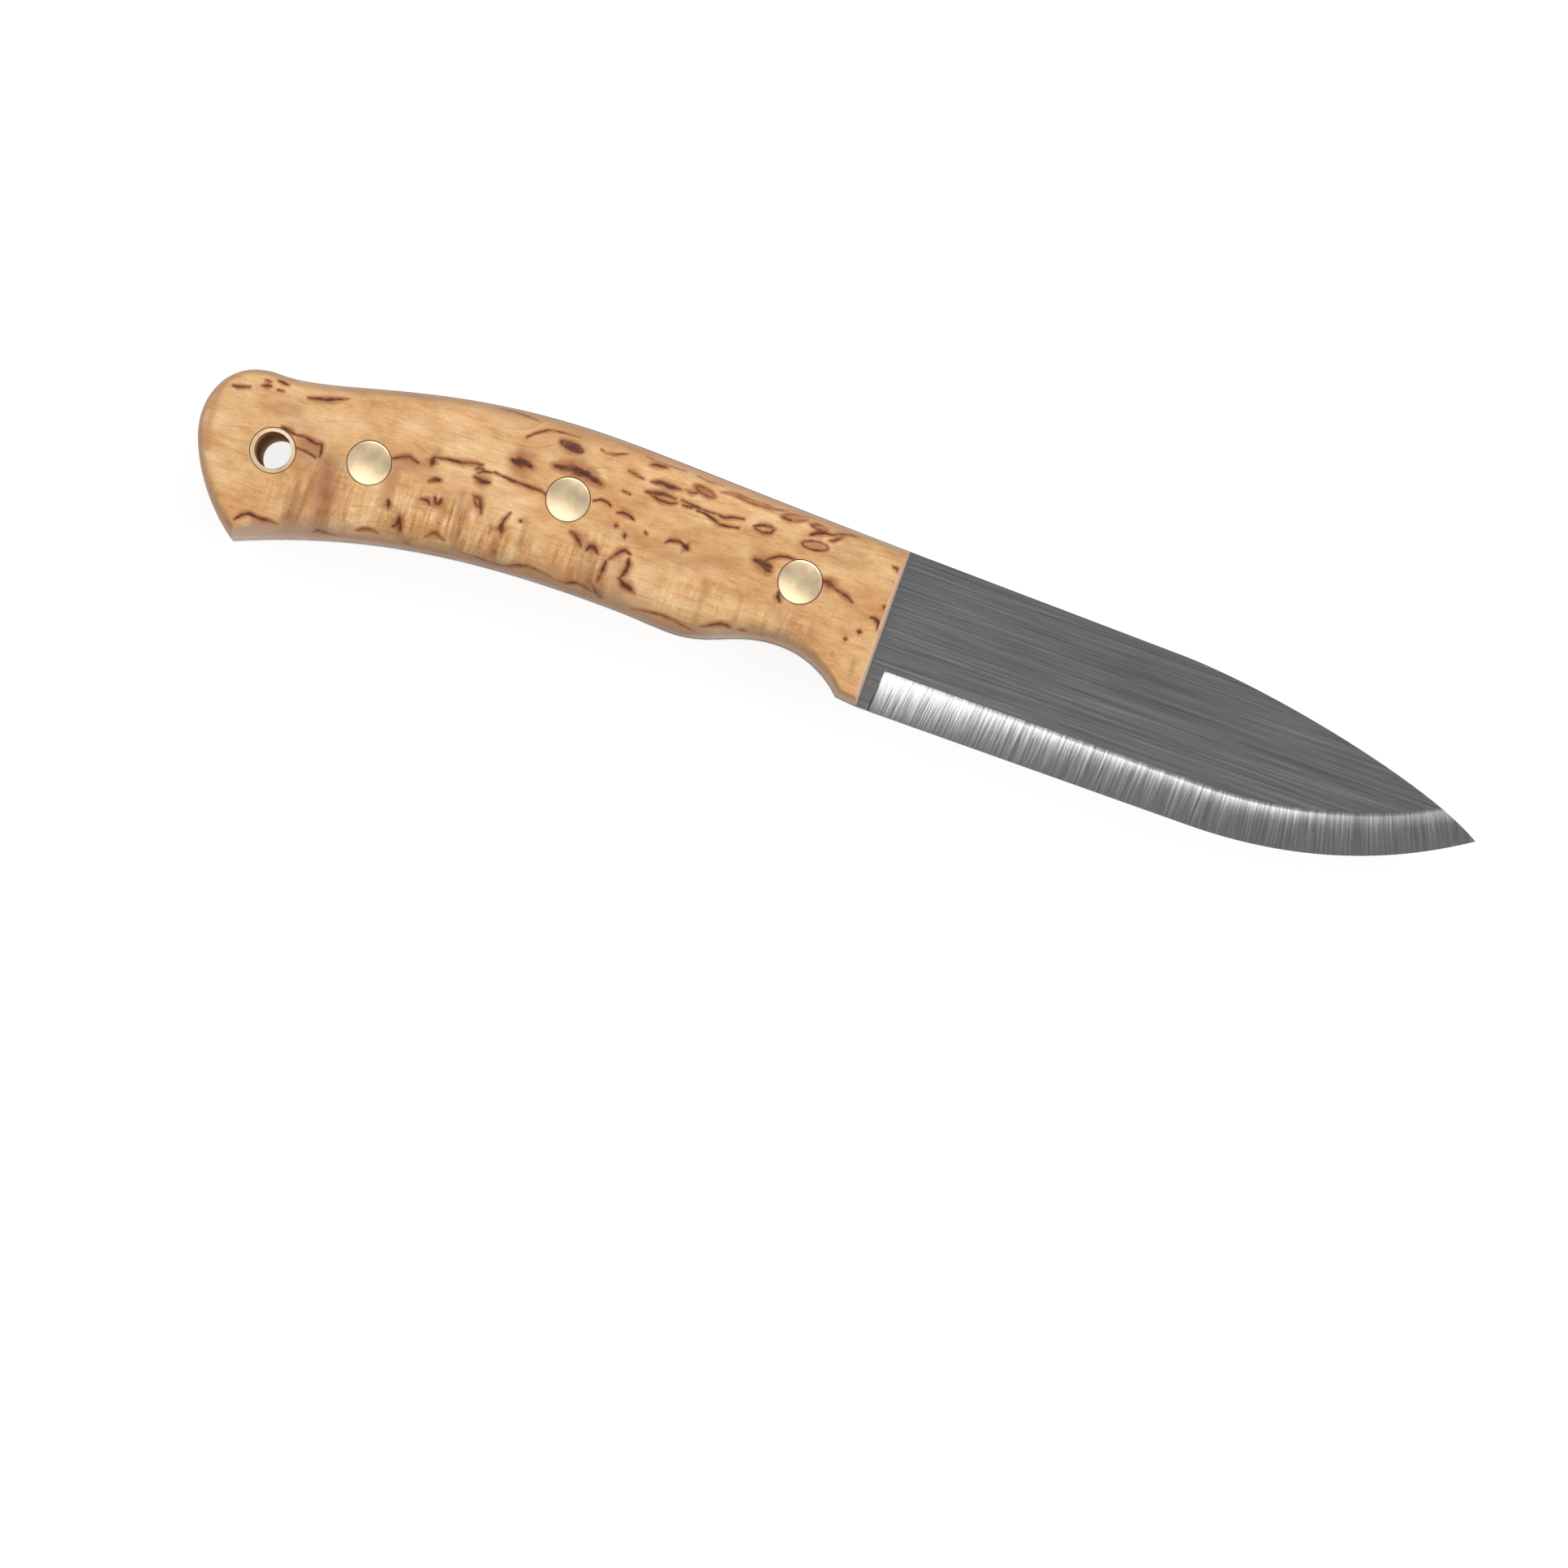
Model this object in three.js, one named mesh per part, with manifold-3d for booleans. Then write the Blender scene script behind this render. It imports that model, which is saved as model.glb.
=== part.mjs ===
// A fixed-blade carving knife with a full tang, lying on its right-hand-up side.
//
// Millimetres. +X runs from the butt to the tip, parallel to the straight cutting edge.
// +Y points to the spine and +Z up through the thickness, so the knife lies on its lower scale.
// While it is drawn, X = 0 is the front end of the handle, Y = 0 is the height that the pins
// are set out from, and Z = 0 is the flat of the lower scale. At the end the whole knife is
// moved so that the origin is under the middle of its box.

import * as THREE from 'three';
import { mergeVertices } from 'three/addons/utils/BufferGeometryUtils.js';
import Module from 'manifold-3d';

const wasm = await Module();
wasm.setup();

// ---- driving dimensions -------------------------------------------------------------------

const BLADE_LENGTH = 100;
const STOCK = 3.2; // thickness of the bar that the blade and tang are cut from
const HANDLE_THICKNESS = 20;
const BEVEL_WIDTH = 6.95; // one straight grind from the flat to the edge, no second bevel
const EDGE_THICKNESS = 0.1;
const PLUNGE_TOP = new THREE.Vector2( 2.85, - 6.7 ); // the end of the grind, at the flat
const PLUNGE_BOTTOM = new THREE.Vector2( 1.85, - 13.55 ); // and at the cutting edge

const TANG_REVEAL = 0.15; // how far the scales stop inside the edge of the tang
const BED_GAP = 0.05; // glue film between a scale and the tang

// How far in from its edge a scale reaches its full thickness. The roundings of the back and
// the belly ease to the front ones over a length ahead of where each begins.
const PALM_ROUNDING = 7;
const BUTT_ROUNDING = 4;
const BUTT_EASE = 18;
const BACK_FRONT_ROUNDING = 4;
const BACK_EASE = [ - 25, 0 ];
const GUARD_ROUNDING = 1.2;
const BELLY_EASE = [ - 30, - 3 ];
const FRONT_ROUNDING = 0.8;
const ROUNDING_POWER = 2.4; // 2 is an ellipse, higher is squarer
const ROUNDING_LEVELS = 7;

const RIVET_HEAD = 7; // diameters
const RIVET_BARREL = 5;
const RIVET_STUD = 3.1;
const RIVET_THREAD_HOLE = 3.3;
const RIVET_HEAD_DEPTH = 5;
const RIVET_PLACES = { front: [ - 14.8, 1.65 ], middle: [ - 53.5, 1.65 ], rear: [ - 84.8, - 3.4 ] };

const TUBE_OUTER = 7.2;
const TUBE_INNER = 5.8;
const TUBE_PLACE = [ - 99.7, - 6.6 ];

const HOLE_CLEARANCE = 0.1; // on the radius, round every rivet and the tube
const FLUSH_DEPTH = 0.05; // the metal ends sit this far below the wood
const ROUND_SIDES = 32;
const OUTLINE_STEP = 3; // spacing of points along the curved outline

const SCALE_THICKNESS = ( HANDLE_THICKNESS - STOCK ) / 2;
const TANG_BOTTOM = SCALE_THICKNESS;
const MIDDLE = HANDLE_THICKNESS / 2;

const steel = new THREE.MeshStandardMaterial( { color: 0x8b8c8d, roughness: 0.38, metalness: 1 } );
const birch = new THREE.MeshStandardMaterial( { color: 0xc08a50, roughness: 0.45, metalness: 0 } );
const brass = new THREE.MeshStandardMaterial( { color: 0xc7a35c, roughness: 0.35, metalness: 1 } );

// ---- outline ------------------------------------------------------------------------------

function bezier( ...corners ) {

	return new THREE.CubicBezierCurve( ...corners.map( ( [ x, y ] ) => new THREE.Vector2( x, y ) ) );

}

// Points along a chain of curves, evenly spaced on each, with the chain's last point left out.
function pointsAlong( curves, step = OUTLINE_STEP ) {

	return curves.flatMap( ( curve ) => {

		const spaces = curve.isLineCurve ? 1 : Math.ceil( curve.getLength() / step );
		return curve.getSpacedPoints( spaces ).slice( 0, spaces );

	} );

}

const FRONT_OF_BACK = [ 0, 12.5 ];
const FRONT_OF_BELLY = [ 0, - 13.55 ];
const TIP = [ BLADE_LENGTH, - 0.7 ];
const EDGE_STARTS_TO_RISE = [ 56, - 13.55 ];
const SPINE_STARTS_TO_FALL = [ 46, 11.5 ];

const risingEdge = bezier( EDGE_STARTS_TO_RISE, [ 71.8, - 13.55 ], [ 86.7, - 9.55 ], TIP );
const fallingSpine = bezier( TIP, [ 88.6, 5.6 ], [ 61, 11.14 ], SPINE_STARTS_TO_FALL );

// From the top front corner of the handle, back over the palm, round the butt and forward
// under the fingers to the small guard step.
const handleCurves = [
	bezier( FRONT_OF_BACK, [ - 26, 13.1 ], [ - 40, 13.9 ], [ - 50, 13.9 ] ),
	bezier( [ - 50, 13.9 ], [ - 79.2, 13.9 ], [ - 93.9, 4.95 ], [ - 104, 5.55 ] ),
	bezier( [ - 104, 5.55 ], [ - 109.4, 5.45 ], [ - 113, 1.35 ], [ - 113, - 4.2 ] ),
	bezier( [ - 113, - 4.2 ], [ - 113, - 10.4 ], [ - 107, - 18.3 ], [ - 101.6, - 21.85 ] ),
	bezier( [ - 101.6, - 21.85 ], [ - 83.3, - 14.1 ], [ - 66.6, - 11.9 ], [ - 47, - 11.9 ] ),
	bezier( [ - 47, - 11.9 ], [ - 36.8, - 11.9 ], [ - 35.5, - 12.4 ], [ - 31.5, - 12.4 ] ),
	bezier( [ - 31.5, - 12.4 ], [ - 24.6, - 12.4 ], [ - 22, - 8.55 ], [ - 14.5, - 8.55 ] ),
	bezier( [ - 14.5, - 8.55 ], [ - 11.8, - 8.55 ], [ - 7.4, - 9.4 ], [ - 3.5, - 13.2 ] ),
	new THREE.LineCurve( new THREE.Vector2( - 3.5, - 13.2 ), new THREE.Vector2( ...FRONT_OF_BELLY ) ),
];
const BUTT_END = handleCurves[ 3 ].v0.x;

// ---- solids -------------------------------------------------------------------------------

// Joins and cuts are done on closed solids, whose triangles share their corners.
function toSolid( geometry ) {

	const bare = geometry.clone();
	bare.deleteAttribute( 'normal' );
	bare.deleteAttribute( 'uv' );
	const merged = mergeVertices( bare, 1e-5 );
	return new wasm.Manifold( new wasm.Mesh( {
		numProp: 3,
		vertProperties: merged.getAttribute( 'position' ).array,
		triVerts: new Uint32Array( merged.getIndex().array ),
	} ) );

}

function toGeometry( solid ) {

	const mesh = solid.getMesh();
	const geometry = new THREE.BufferGeometry();
	geometry.setAttribute( 'position', new THREE.BufferAttribute( mesh.vertProperties, 3 ) );
	geometry.setIndex( new THREE.BufferAttribute( mesh.triVerts, 1 ) );
	return geometry;

}

// A turned solid standing on Z at a place. The profile is [ radius, height ] pairs.
function turned( profile, [ x, y ] ) {

	const points = profile.map( ( [ radius, height ] ) => new THREE.Vector2( radius, height ) );
	const geometry = new THREE.LatheGeometry( points, ROUND_SIDES );
	geometry.rotateX( Math.PI / 2 );
	geometry.translate( x, y, 0 );
	return toSolid( geometry );

}

// A round bar from one height to another, used as a drill.
function drill( radius, from, to, place ) {

	return turned( [ [ 0, from ], [ radius, from ], [ radius, to ], [ 0, to ] ], place );

}

// A closed skin through rings of equally many points, each ring an array of Vector3.
function loft( rings ) {

	const count = rings[ 0 ].length;
	const positions = rings.flat().flatMap( ( point ) => point.toArray() );
	const index = [];
	for ( let level = 0; level < rings.length - 1; level ++ ) {

		for ( let i = 0; i < count; i ++ ) {

			const a = level * count + i;
			const b = level * count + ( i + 1 ) % count;
			index.push( a, b, b + count, a, b + count, a + count );

		}

	}

	const flat = ( ring ) => ring.map( ( point ) => new THREE.Vector2( point.x, point.y ) );
	const last = ( rings.length - 1 ) * count;
	for ( const [ a, b, c ] of THREE.ShapeUtils.triangulateShape( flat( rings[ 0 ] ), [] ) ) {

		index.push( a, c, b );

	}

	for ( const [ a, b, c ] of THREE.ShapeUtils.triangulateShape( flat( rings.at( - 1 ) ), [] ) ) {

		index.push( last + a, last + b, last + c );

	}

	const geometry = new THREE.BufferGeometry();
	geometry.setAttribute( 'position', new THREE.Float32BufferAttribute( positions, 3 ) );
	geometry.setIndex( index );
	return geometry;

}

// ---- blade and tang -----------------------------------------------------------------------

// The grinding tool for one face: a wedge that follows the edge. Its lower side is the bevel,
// which falls from the flat to half the edge thickness over the bevel's width.
function bevelCutter( side ) {

	const REACH = 1; // how far the wedge runs past both ends of the bevel
	const HEAD_ROOM = 4;
	const drop = ( STOCK - EDGE_THICKNESS ) / 2;
	const rise = drop * REACH / BEVEL_WIDTH;
	const at = ( point, across, height ) => new THREE.Vector3(
		point.x, point.y, MIDDLE + side * height
	).add( across );

	const section = ( point, inward ) => [
		at( point, inward.clone().multiplyScalar( - REACH ), EDGE_THICKNESS / 2 - rise ),
		at( point, inward.clone().multiplyScalar( BEVEL_WIDTH + REACH ), STOCK / 2 + rise ),
		at( point, inward.clone().multiplyScalar( - REACH ), HEAD_ROOM ),
	];

	// The first section leans with the plunge line, and the others stand square to the edge.
	const lean = PLUNGE_TOP.clone().sub( PLUNGE_BOTTOM ).divideScalar( BEVEL_WIDTH );
	const sections = [ section( PLUNGE_BOTTOM, new THREE.Vector3( lean.x, lean.y, 0 ) ) ];
	sections.push( section( new THREE.Vector2( ...EDGE_STARTS_TO_RISE ), new THREE.Vector3( 0, 1, 0 ) ) );

	const spaces = Math.ceil( risingEdge.getLength() / OUTLINE_STEP );
	for ( let i = 1; i <= spaces; i ++ ) {

		const tangent = risingEdge.getTangentAt( i / spaces );
		const inward = new THREE.Vector3( - tangent.y, tangent.x, 0 );
		sections.push( section( risingEdge.getPointAt( i / spaces ), inward ) );

	}

	const beyond = risingEdge.getTangentAt( 1 ).multiplyScalar( 2 * REACH );
	const end = new THREE.Vector2( ...TIP ).add( beyond );
	sections.push( section( end, new THREE.Vector3( - beyond.y, beyond.x, 0 ).normalize() ) );

	const positions = sections.flat().flatMap( ( point ) => point.toArray() );
	const index = [];
	const face = ( a, b, c ) => index.push( ...( side > 0 ? [ a, b, c ] : [ a, c, b ] ) );
	const corners = sections[ 0 ].length;
	const last = ( sections.length - 1 ) * corners;
	face( 0, 2, 1 );
	face( last, last + 1, last + 2 );
	for ( let row = 0; row < last; row += corners ) {

		for ( let i = 0; i < corners; i ++ ) {

			const a = row + i;
			const b = row + ( i + 1 ) % corners;
			face( a, b, b + corners );
			face( a, b + corners, a + corners );

		}

	}

	const geometry = new THREE.BufferGeometry();
	geometry.setAttribute( 'position', new THREE.Float32BufferAttribute( positions, 3 ) );
	geometry.setIndex( index );
	return toSolid( geometry );

}

function makeBlade() {

	const outline = new THREE.Shape( [
		...pointsAlong( handleCurves ),
		new THREE.Vector2( ...FRONT_OF_BELLY ),
		...pointsAlong( [ risingEdge, fallingSpine ] ),
		new THREE.Vector2( ...SPINE_STARTS_TO_FALL ),
	] );
	const geometry = new THREE.ExtrudeGeometry( outline, { depth: STOCK, bevelEnabled: false } );
	geometry.translate( 0, 0, TANG_BOTTOM );

	let blade = toSolid( geometry ).subtract( bevelCutter( 1 ) ).subtract( bevelCutter( - 1 ) );
	for ( const place of Object.values( RIVET_PLACES ) ) {

		blade = blade.subtract( drill( RIVET_BARREL / 2 + HOLE_CLEARANCE, 0, HANDLE_THICKNESS, place ) );

	}

	blade = blade.subtract( drill( TUBE_OUTER / 2 + HOLE_CLEARANCE, 0, HANDLE_THICKNESS, TUBE_PLACE ) );
	return toGeometry( blade );

}

// ---- scales -------------------------------------------------------------------------------

// For each point of an outline, the way inward that moves every edge in by its own depth.
// depths[ i ] belongs to the edge from point i to the next one.
function waysInward( points, depths ) {

	const NEARLY_STRAIGHT = 0.97;
	const count = points.length;
	const normals = points.map( ( point, i ) => {

		const along = points[ ( i + 1 ) % count ].clone().sub( point ).normalize();
		return new THREE.Vector2( - along.y, along.x );

	} );
	return points.map( ( point, i ) => {

		const before = ( i + count - 1 ) % count;
		const a = normals[ before ];
		const b = normals[ i ];
		if ( a.dot( b ) > NEARLY_STRAIGHT ) {

			return a.clone().add( b ).multiplyScalar( ( depths[ before ] + depths[ i ] ) / 2 / ( 1 + a.dot( b ) ) );

		}

		const cross = a.x * b.y - a.y * b.x;
		return new THREE.Vector2(
			( depths[ before ] * b.y - depths[ i ] * a.y ) / cross,
			( depths[ i ] * a.x - depths[ before ] * b.x ) / cross
		);

	} );

}

// How deep the rounding is at a point of the scale's edge.
function roundingAt( { x, y } ) {

	const [ ease, frontDepth ] = y < 0 ? [ BELLY_EASE, GUARD_ROUNDING ] : [ BACK_EASE, BACK_FRONT_ROUNDING ];
	const forward = THREE.MathUtils.smoothstep( x, ...ease );
	const side = THREE.MathUtils.lerp( PALM_ROUNDING, frontDepth, forward );
	const fromButt = THREE.MathUtils.smoothstep( x, BUTT_END, BUTT_END + BUTT_EASE );
	return THREE.MathUtils.lerp( BUTT_ROUNDING, side, fromButt );

}

// The scale's edge stands upright at the tang and rolls over to the flat in a quarter of a
// rounded square. side is 1 for the upper scale and - 1 for the lower one.
function makeScale( side ) {

	const tangEdge = pointsAlong( handleCurves );
	tangEdge.push( new THREE.Vector2( ...FRONT_OF_BELLY ) );
	const front = tangEdge.length - 1;
	const reveal = tangEdge.map( ( point, i ) => i === front ? 0 : TANG_REVEAL );
	const shift = waysInward( tangEdge, reveal );
	const outline = tangEdge.map( ( point, i ) => point.clone().add( shift[ i ] ) );

	const inward = waysInward( outline, outline.map( ( point, i ) => {

		return i === front ? FRONT_ROUNDING : roundingAt( point.clone().lerp( outline[ i + 1 ], 0.5 ) );

	} ) );

	const thickness = SCALE_THICKNESS - BED_GAP;
	const bed = MIDDLE + side * ( STOCK / 2 + BED_GAP );
	const rings = [];
	for ( let level = 0; level <= ROUNDING_LEVELS; level ++ ) {

		const turn = level / ROUNDING_LEVELS * Math.PI / 2;
		const height = thickness * Math.sin( turn ) ** ( 2 / ROUNDING_POWER );
		const inset = 1 - Math.max( 0, Math.cos( turn ) ) ** ( 2 / ROUNDING_POWER );
		rings.push( outline.map( ( point, i ) => {

			const place = point.clone().addScaledVector( inward[ i ], inset );
			return new THREE.Vector3( place.x, place.y, bed + side * height );

		} ) );

	}

	if ( side < 0 ) rings.reverse();
	let scale = toSolid( loft( rings ) );
	const outerFace = side > 0 ? HANDLE_THICKNESS : 0;
	const shoulder = outerFace - side * ( RIVET_HEAD_DEPTH + HOLE_CLEARANCE );
	for ( const place of Object.values( RIVET_PLACES ) ) {

		const headSeat = [ shoulder, outerFace + side ].sort( ( a, b ) => a - b );
		scale = scale.subtract( drill( RIVET_HEAD / 2 + HOLE_CLEARANCE, ...headSeat, place ) );
		scale = scale.subtract( drill( RIVET_BARREL / 2 + HOLE_CLEARANCE, 0, HANDLE_THICKNESS, place ) );

	}

	scale = scale.subtract( drill( TUBE_OUTER / 2 + HOLE_CLEARANCE, - 1, HANDLE_THICKNESS + 1, TUBE_PLACE ) );
	return toGeometry( scale );

}

// ---- rivets and tube ----------------------------------------------------------------------

const METAL_BOTTOM = FLUSH_DEPTH;
const METAL_TOP = HANDLE_THICKNESS - FLUSH_DEPTH;

// The half that comes up from below: a head, and a barrel with a threaded hole in its end.
function makeRivetNut( place ) {

	const barrelEnd = HANDLE_THICKNESS - RIVET_HEAD_DEPTH - 4 * HOLE_CLEARANCE;
	const holeFloor = RIVET_HEAD_DEPTH - 1;
	return toGeometry( turned( [
		[ 0, METAL_BOTTOM ],
		[ RIVET_HEAD / 2, METAL_BOTTOM ],
		[ RIVET_HEAD / 2, RIVET_HEAD_DEPTH ],
		[ RIVET_BARREL / 2, RIVET_HEAD_DEPTH ],
		[ RIVET_BARREL / 2, barrelEnd ],
		[ RIVET_THREAD_HOLE / 2, barrelEnd ],
		[ RIVET_THREAD_HOLE / 2, holeFloor ],
		[ 0, holeFloor ],
	], place ) );

}

// The half that comes down from above: a head on a threaded stud.
function makeRivetScrew( place ) {

	const underHead = HANDLE_THICKNESS - RIVET_HEAD_DEPTH;
	const studEnd = RIVET_HEAD_DEPTH + 1;
	return toGeometry( turned( [
		[ 0, studEnd ],
		[ RIVET_STUD / 2, studEnd ],
		[ RIVET_STUD / 2, underHead ],
		[ RIVET_HEAD / 2, underHead ],
		[ RIVET_HEAD / 2, METAL_TOP ],
		[ 0, METAL_TOP ],
	], place ) );

}

function makeTube() {

	return toGeometry( turned( [
		[ TUBE_INNER / 2, METAL_BOTTOM ],
		[ TUBE_OUTER / 2, METAL_BOTTOM ],
		[ TUBE_OUTER / 2, METAL_TOP ],
		[ TUBE_INNER / 2, METAL_TOP ],
		[ TUBE_INNER / 2, METAL_BOTTOM ],
	], TUBE_PLACE ) );

}

// ---- assembly -----------------------------------------------------------------------------

const knife = new THREE.Group();

function add( name, geometry, material ) {

	const mesh = new THREE.Mesh( geometry, material );
	mesh.name = name;
	knife.add( mesh );

}

add( 'blade', makeBlade(), steel );
add( 'right_scale', makeScale( 1 ), birch );
add( 'left_scale', makeScale( - 1 ), birch );
for ( const [ where, place ] of Object.entries( RIVET_PLACES ) ) {

	add( `${ where }_rivet_nut`, makeRivetNut( place ), brass );
	add( `${ where }_rivet_screw`, makeRivetScrew( place ), brass );

}

add( 'lanyard_tube', makeTube(), brass );

const box = new THREE.Box3().setFromObject( knife );
const middle = box.getCenter( new THREE.Vector3() );
knife.children.forEach( ( mesh ) => mesh.geometry.translate( - middle.x, - middle.y, - box.min.z ) );

export default knife;
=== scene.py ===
import math
import random

import bmesh
import bpy
import numpy as np
from mathutils import Matrix, Vector
from mathutils.geometry import delaunay_2d_cdt
from mathutils.kdtree import KDTree


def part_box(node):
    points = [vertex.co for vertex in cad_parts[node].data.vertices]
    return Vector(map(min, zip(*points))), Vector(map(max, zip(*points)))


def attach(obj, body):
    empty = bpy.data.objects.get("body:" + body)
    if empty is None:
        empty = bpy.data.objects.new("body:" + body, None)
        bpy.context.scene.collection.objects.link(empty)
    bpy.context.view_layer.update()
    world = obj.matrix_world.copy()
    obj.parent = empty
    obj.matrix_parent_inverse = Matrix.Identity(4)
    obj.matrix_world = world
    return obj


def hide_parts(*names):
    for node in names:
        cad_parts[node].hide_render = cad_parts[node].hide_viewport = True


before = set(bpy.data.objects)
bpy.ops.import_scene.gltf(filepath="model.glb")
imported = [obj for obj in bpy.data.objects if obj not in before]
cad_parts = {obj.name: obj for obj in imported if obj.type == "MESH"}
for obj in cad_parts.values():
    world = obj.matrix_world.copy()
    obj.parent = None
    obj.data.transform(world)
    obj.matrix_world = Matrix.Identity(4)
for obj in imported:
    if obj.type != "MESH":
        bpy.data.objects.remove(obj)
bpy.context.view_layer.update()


# ---- The bar: blade and tang --------------------------------------------------------------
# One bar of knife steel, 3.2 mm thick, cut to the outline of the whole knife. The flats are
# satin finished along the blade. One bevel a side, flat but for a hair, is ground across it up to
# a plunge just ahead of the handle, and the tang behind is drilled for the rivets and the tube.

MM = 0.001
BLADE_LENGTH = 100
BACK_HEIGHT = 13.9
EDGE_THICKNESS = 0.1
BEVEL_WIDTH = 6.95
BEVEL_BELLY = 0.25  # how much steeper than flat the grind is at the edge, and shallower at the top
BEVEL_ROWS = 14
TIP_NARROWING = 0.45  # the bevel is this much narrower at the tip
NARROWS_OVER = (76, 97)
GRIND_LINE = 0.16  # the width of the polished-over corner between the flat and the bevel
GRIND_LINE_DROP = 0.012
CURVE_STEP = 0.7
STRAIGHT_STATIONS = 26

# The plunge slants from the edge up to the grind line. Its steep wall has this run at the edge
# and closes up to almost none at the top, and past the fade the bevel's grid is square again.
PLUNGE_TOP = (2.55, -6.7)
PLUNGE_BOTTOM = (1.7, -13.55)
PLUNGE_RUN = 0.6
PLUNGE_CLOSING = 0.98
PLUNGE_FADE = 3.0
WALL_STATIONS = [0, 0.05, 0.1, 0.15, 0.2, 0.3, 0.45]
FADE_STATIONS = 8

GUARD_CORNER = (-3.5, -13.2)
FRONT_OF_BELLY = (0, -13.55)
EDGE_RISES = (56, -13.55)
TIP = (BLADE_LENGTH, -0.7)
SPINE_FALLS = (46, 11.5)
RISING_EDGE = [EDGE_RISES, (71.8, -13.55), (86.7, -9.55), TIP]
FALLING_SPINE = [TIP, (88.6, 5.6), (61, 11.14), SPINE_FALLS]

# The handle's outline in millimetres from its front end, in smooth stretches between corners.
BACK_AND_BUTT = [
    [(0, 12.5), (-26, 13.1), (-40, 13.9), (-50, BACK_HEIGHT)],
    [(-50, BACK_HEIGHT), (-79.2, 13.9), (-93.9, 4.95), (-104, 5.55)],
    [(-104, 5.55), (-109.4, 5.45), (-113, 1.35), (-113, -4.2)],
    [(-113, -4.2), (-113, -10.4), (-107, -18.3), (-101.6, -21.85)],
]
BELLY = [
    [(-101.6, -21.85), (-83.3, -14.1), (-66.6, -11.9), (-47, -11.9)],
    [(-47, -11.9), (-36.8, -11.9), (-35.5, -12.4), (-31.5, -12.4)],
    [(-31.5, -12.4), (-24.6, -12.4), (-22, -8.55), (-14.5, -8.55)],
    [(-14.5, -8.55), (-11.8, -8.55), (-7.4, -9.4), GUARD_CORNER],
]

RIVETS = {"front": (-14.8, 1.65), "middle": (-53.5, 1.65), "rear": (-84.8, -3.4)}
TUBE = (-99.7, -6.6)
RIVET_HOLE = 2.6  # radii
TUBE_HOLE = 3.7

low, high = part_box("blade")
STOCK = (high.z - low.z) / MM
# Everything is drawn in millimetres from here: at the handle's front end, BACK_HEIGHT under the
# highest point of the back, and halfway through the bar.
ORIGIN = Vector((high.x / MM - BLADE_LENGTH, high.y / MM - BACK_HEIGHT, (high.z + low.z) / 2 / MM))


def along(corners, step):
    """Evenly spaced points on one cubic curve, without its last point."""
    t = np.linspace(0, 1, 400)[:, None]
    a, b, c, d = np.array(corners, float)
    fine = a * (1 - t) ** 3 + 3 * b * t * (1 - t) ** 2 + 3 * c * t**2 * (1 - t) + d * t**3
    walked = np.concatenate([[0], np.cumsum(np.linalg.norm(np.diff(fine, axis=0), axis=1))])
    stops = np.linspace(0, walked[-1], math.ceil(walked[-1] / step) + 1)[:-1]
    return np.column_stack([np.interp(stops, walked, fine[:, 0]), np.interp(stops, walked, fine[:, 1])])


def smoothstep(x, start, end):
    """0 before the start and 1 past the end, with a gentle rise between them."""
    t = min(max((x - start) / (end - start), 0), 1)
    return t * t * (3 - 2 * t)


def circle(centre, radius, sides=64):
    turns = np.linspace(0, 2 * math.pi, sides, endpoint=False)
    return np.column_stack([centre[0] + radius * np.cos(turns), centre[1] + radius * np.sin(turns)])


def filled(outline, holes, inner_points=()):
    """Triangles over a flat outline with round holes: the points used and the corners of each."""
    loops = [outline] + [circle(centre, radius) for centre, radius in holes]
    points = [Vector(p) for loop in loops for p in loop] + [Vector(p) for p in inner_points]
    edges = []
    for loop in loops:
        first = len(edges)
        edges += [(first + i, first + (i + 1) % len(loop)) for i in range(len(loop))]
    corners, _, faces, *_ = delaunay_2d_cdt(points, edges, [], 1, 1e-6)
    kept = []
    for face in faces:
        centroid = sum((corners[i] for i in face), Vector((0, 0))) / 3
        # Slivers just inside a hole's circle lie outside its straight sides, so they stay.
        if all((centroid - Vector(centre)).length > radius * 0.998 for centre, radius in holes):
            kept.append(face)
    return corners, kept


def finish_mesh(bm, name, crease, sharp_between_finishes=False):
    """A smooth-shaded object from a mesh drawn in millimetres. The crease is in degrees."""
    bmesh.ops.remove_doubles(bm, verts=bm.verts, dist=1e-4)
    bmesh.ops.dissolve_degenerate(bm, edges=bm.edges, dist=1e-5)
    bmesh.ops.recalc_face_normals(bm, faces=bm.faces)
    bm.edges.index_update()
    borders = [e.index for e in bm.edges if len({f.material_index for f in e.link_faces}) > 1]
    for vertex in bm.verts:
        vertex.co = (vertex.co + ORIGIN) * MM
    mesh = bpy.data.meshes.new(name)
    bm.to_mesh(mesh)
    bm.free()
    mesh.shade_smooth()
    mesh.set_sharp_from_angle(angle=math.radians(crease))
    if sharp_between_finishes:
        for i in borders:
            mesh.edges[i].use_edge_sharp = True
    piece = bpy.data.objects.new(name, mesh)
    bpy.context.scene.collection.objects.link(piece)
    return piece


def spine_distance(start, way, spine):
    """How far a ray from the edge goes before it meets the spine."""
    nearest = math.inf
    for a, b in zip(spine, spine[1:]):
        side = b - a
        cross = way[0] * side[1] - way[1] * side[0]
        if abs(cross) < 1e-12:
            continue
        offset = a - start
        reach = (offset[0] * side[1] - offset[1] * side[0]) / cross
        share = (offset[0] * way[1] - offset[1] * way[0]) / cross
        if reach > 0 and -1e-9 <= share <= 1 + 1e-9:
            nearest = min(nearest, reach)
    return nearest


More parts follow.
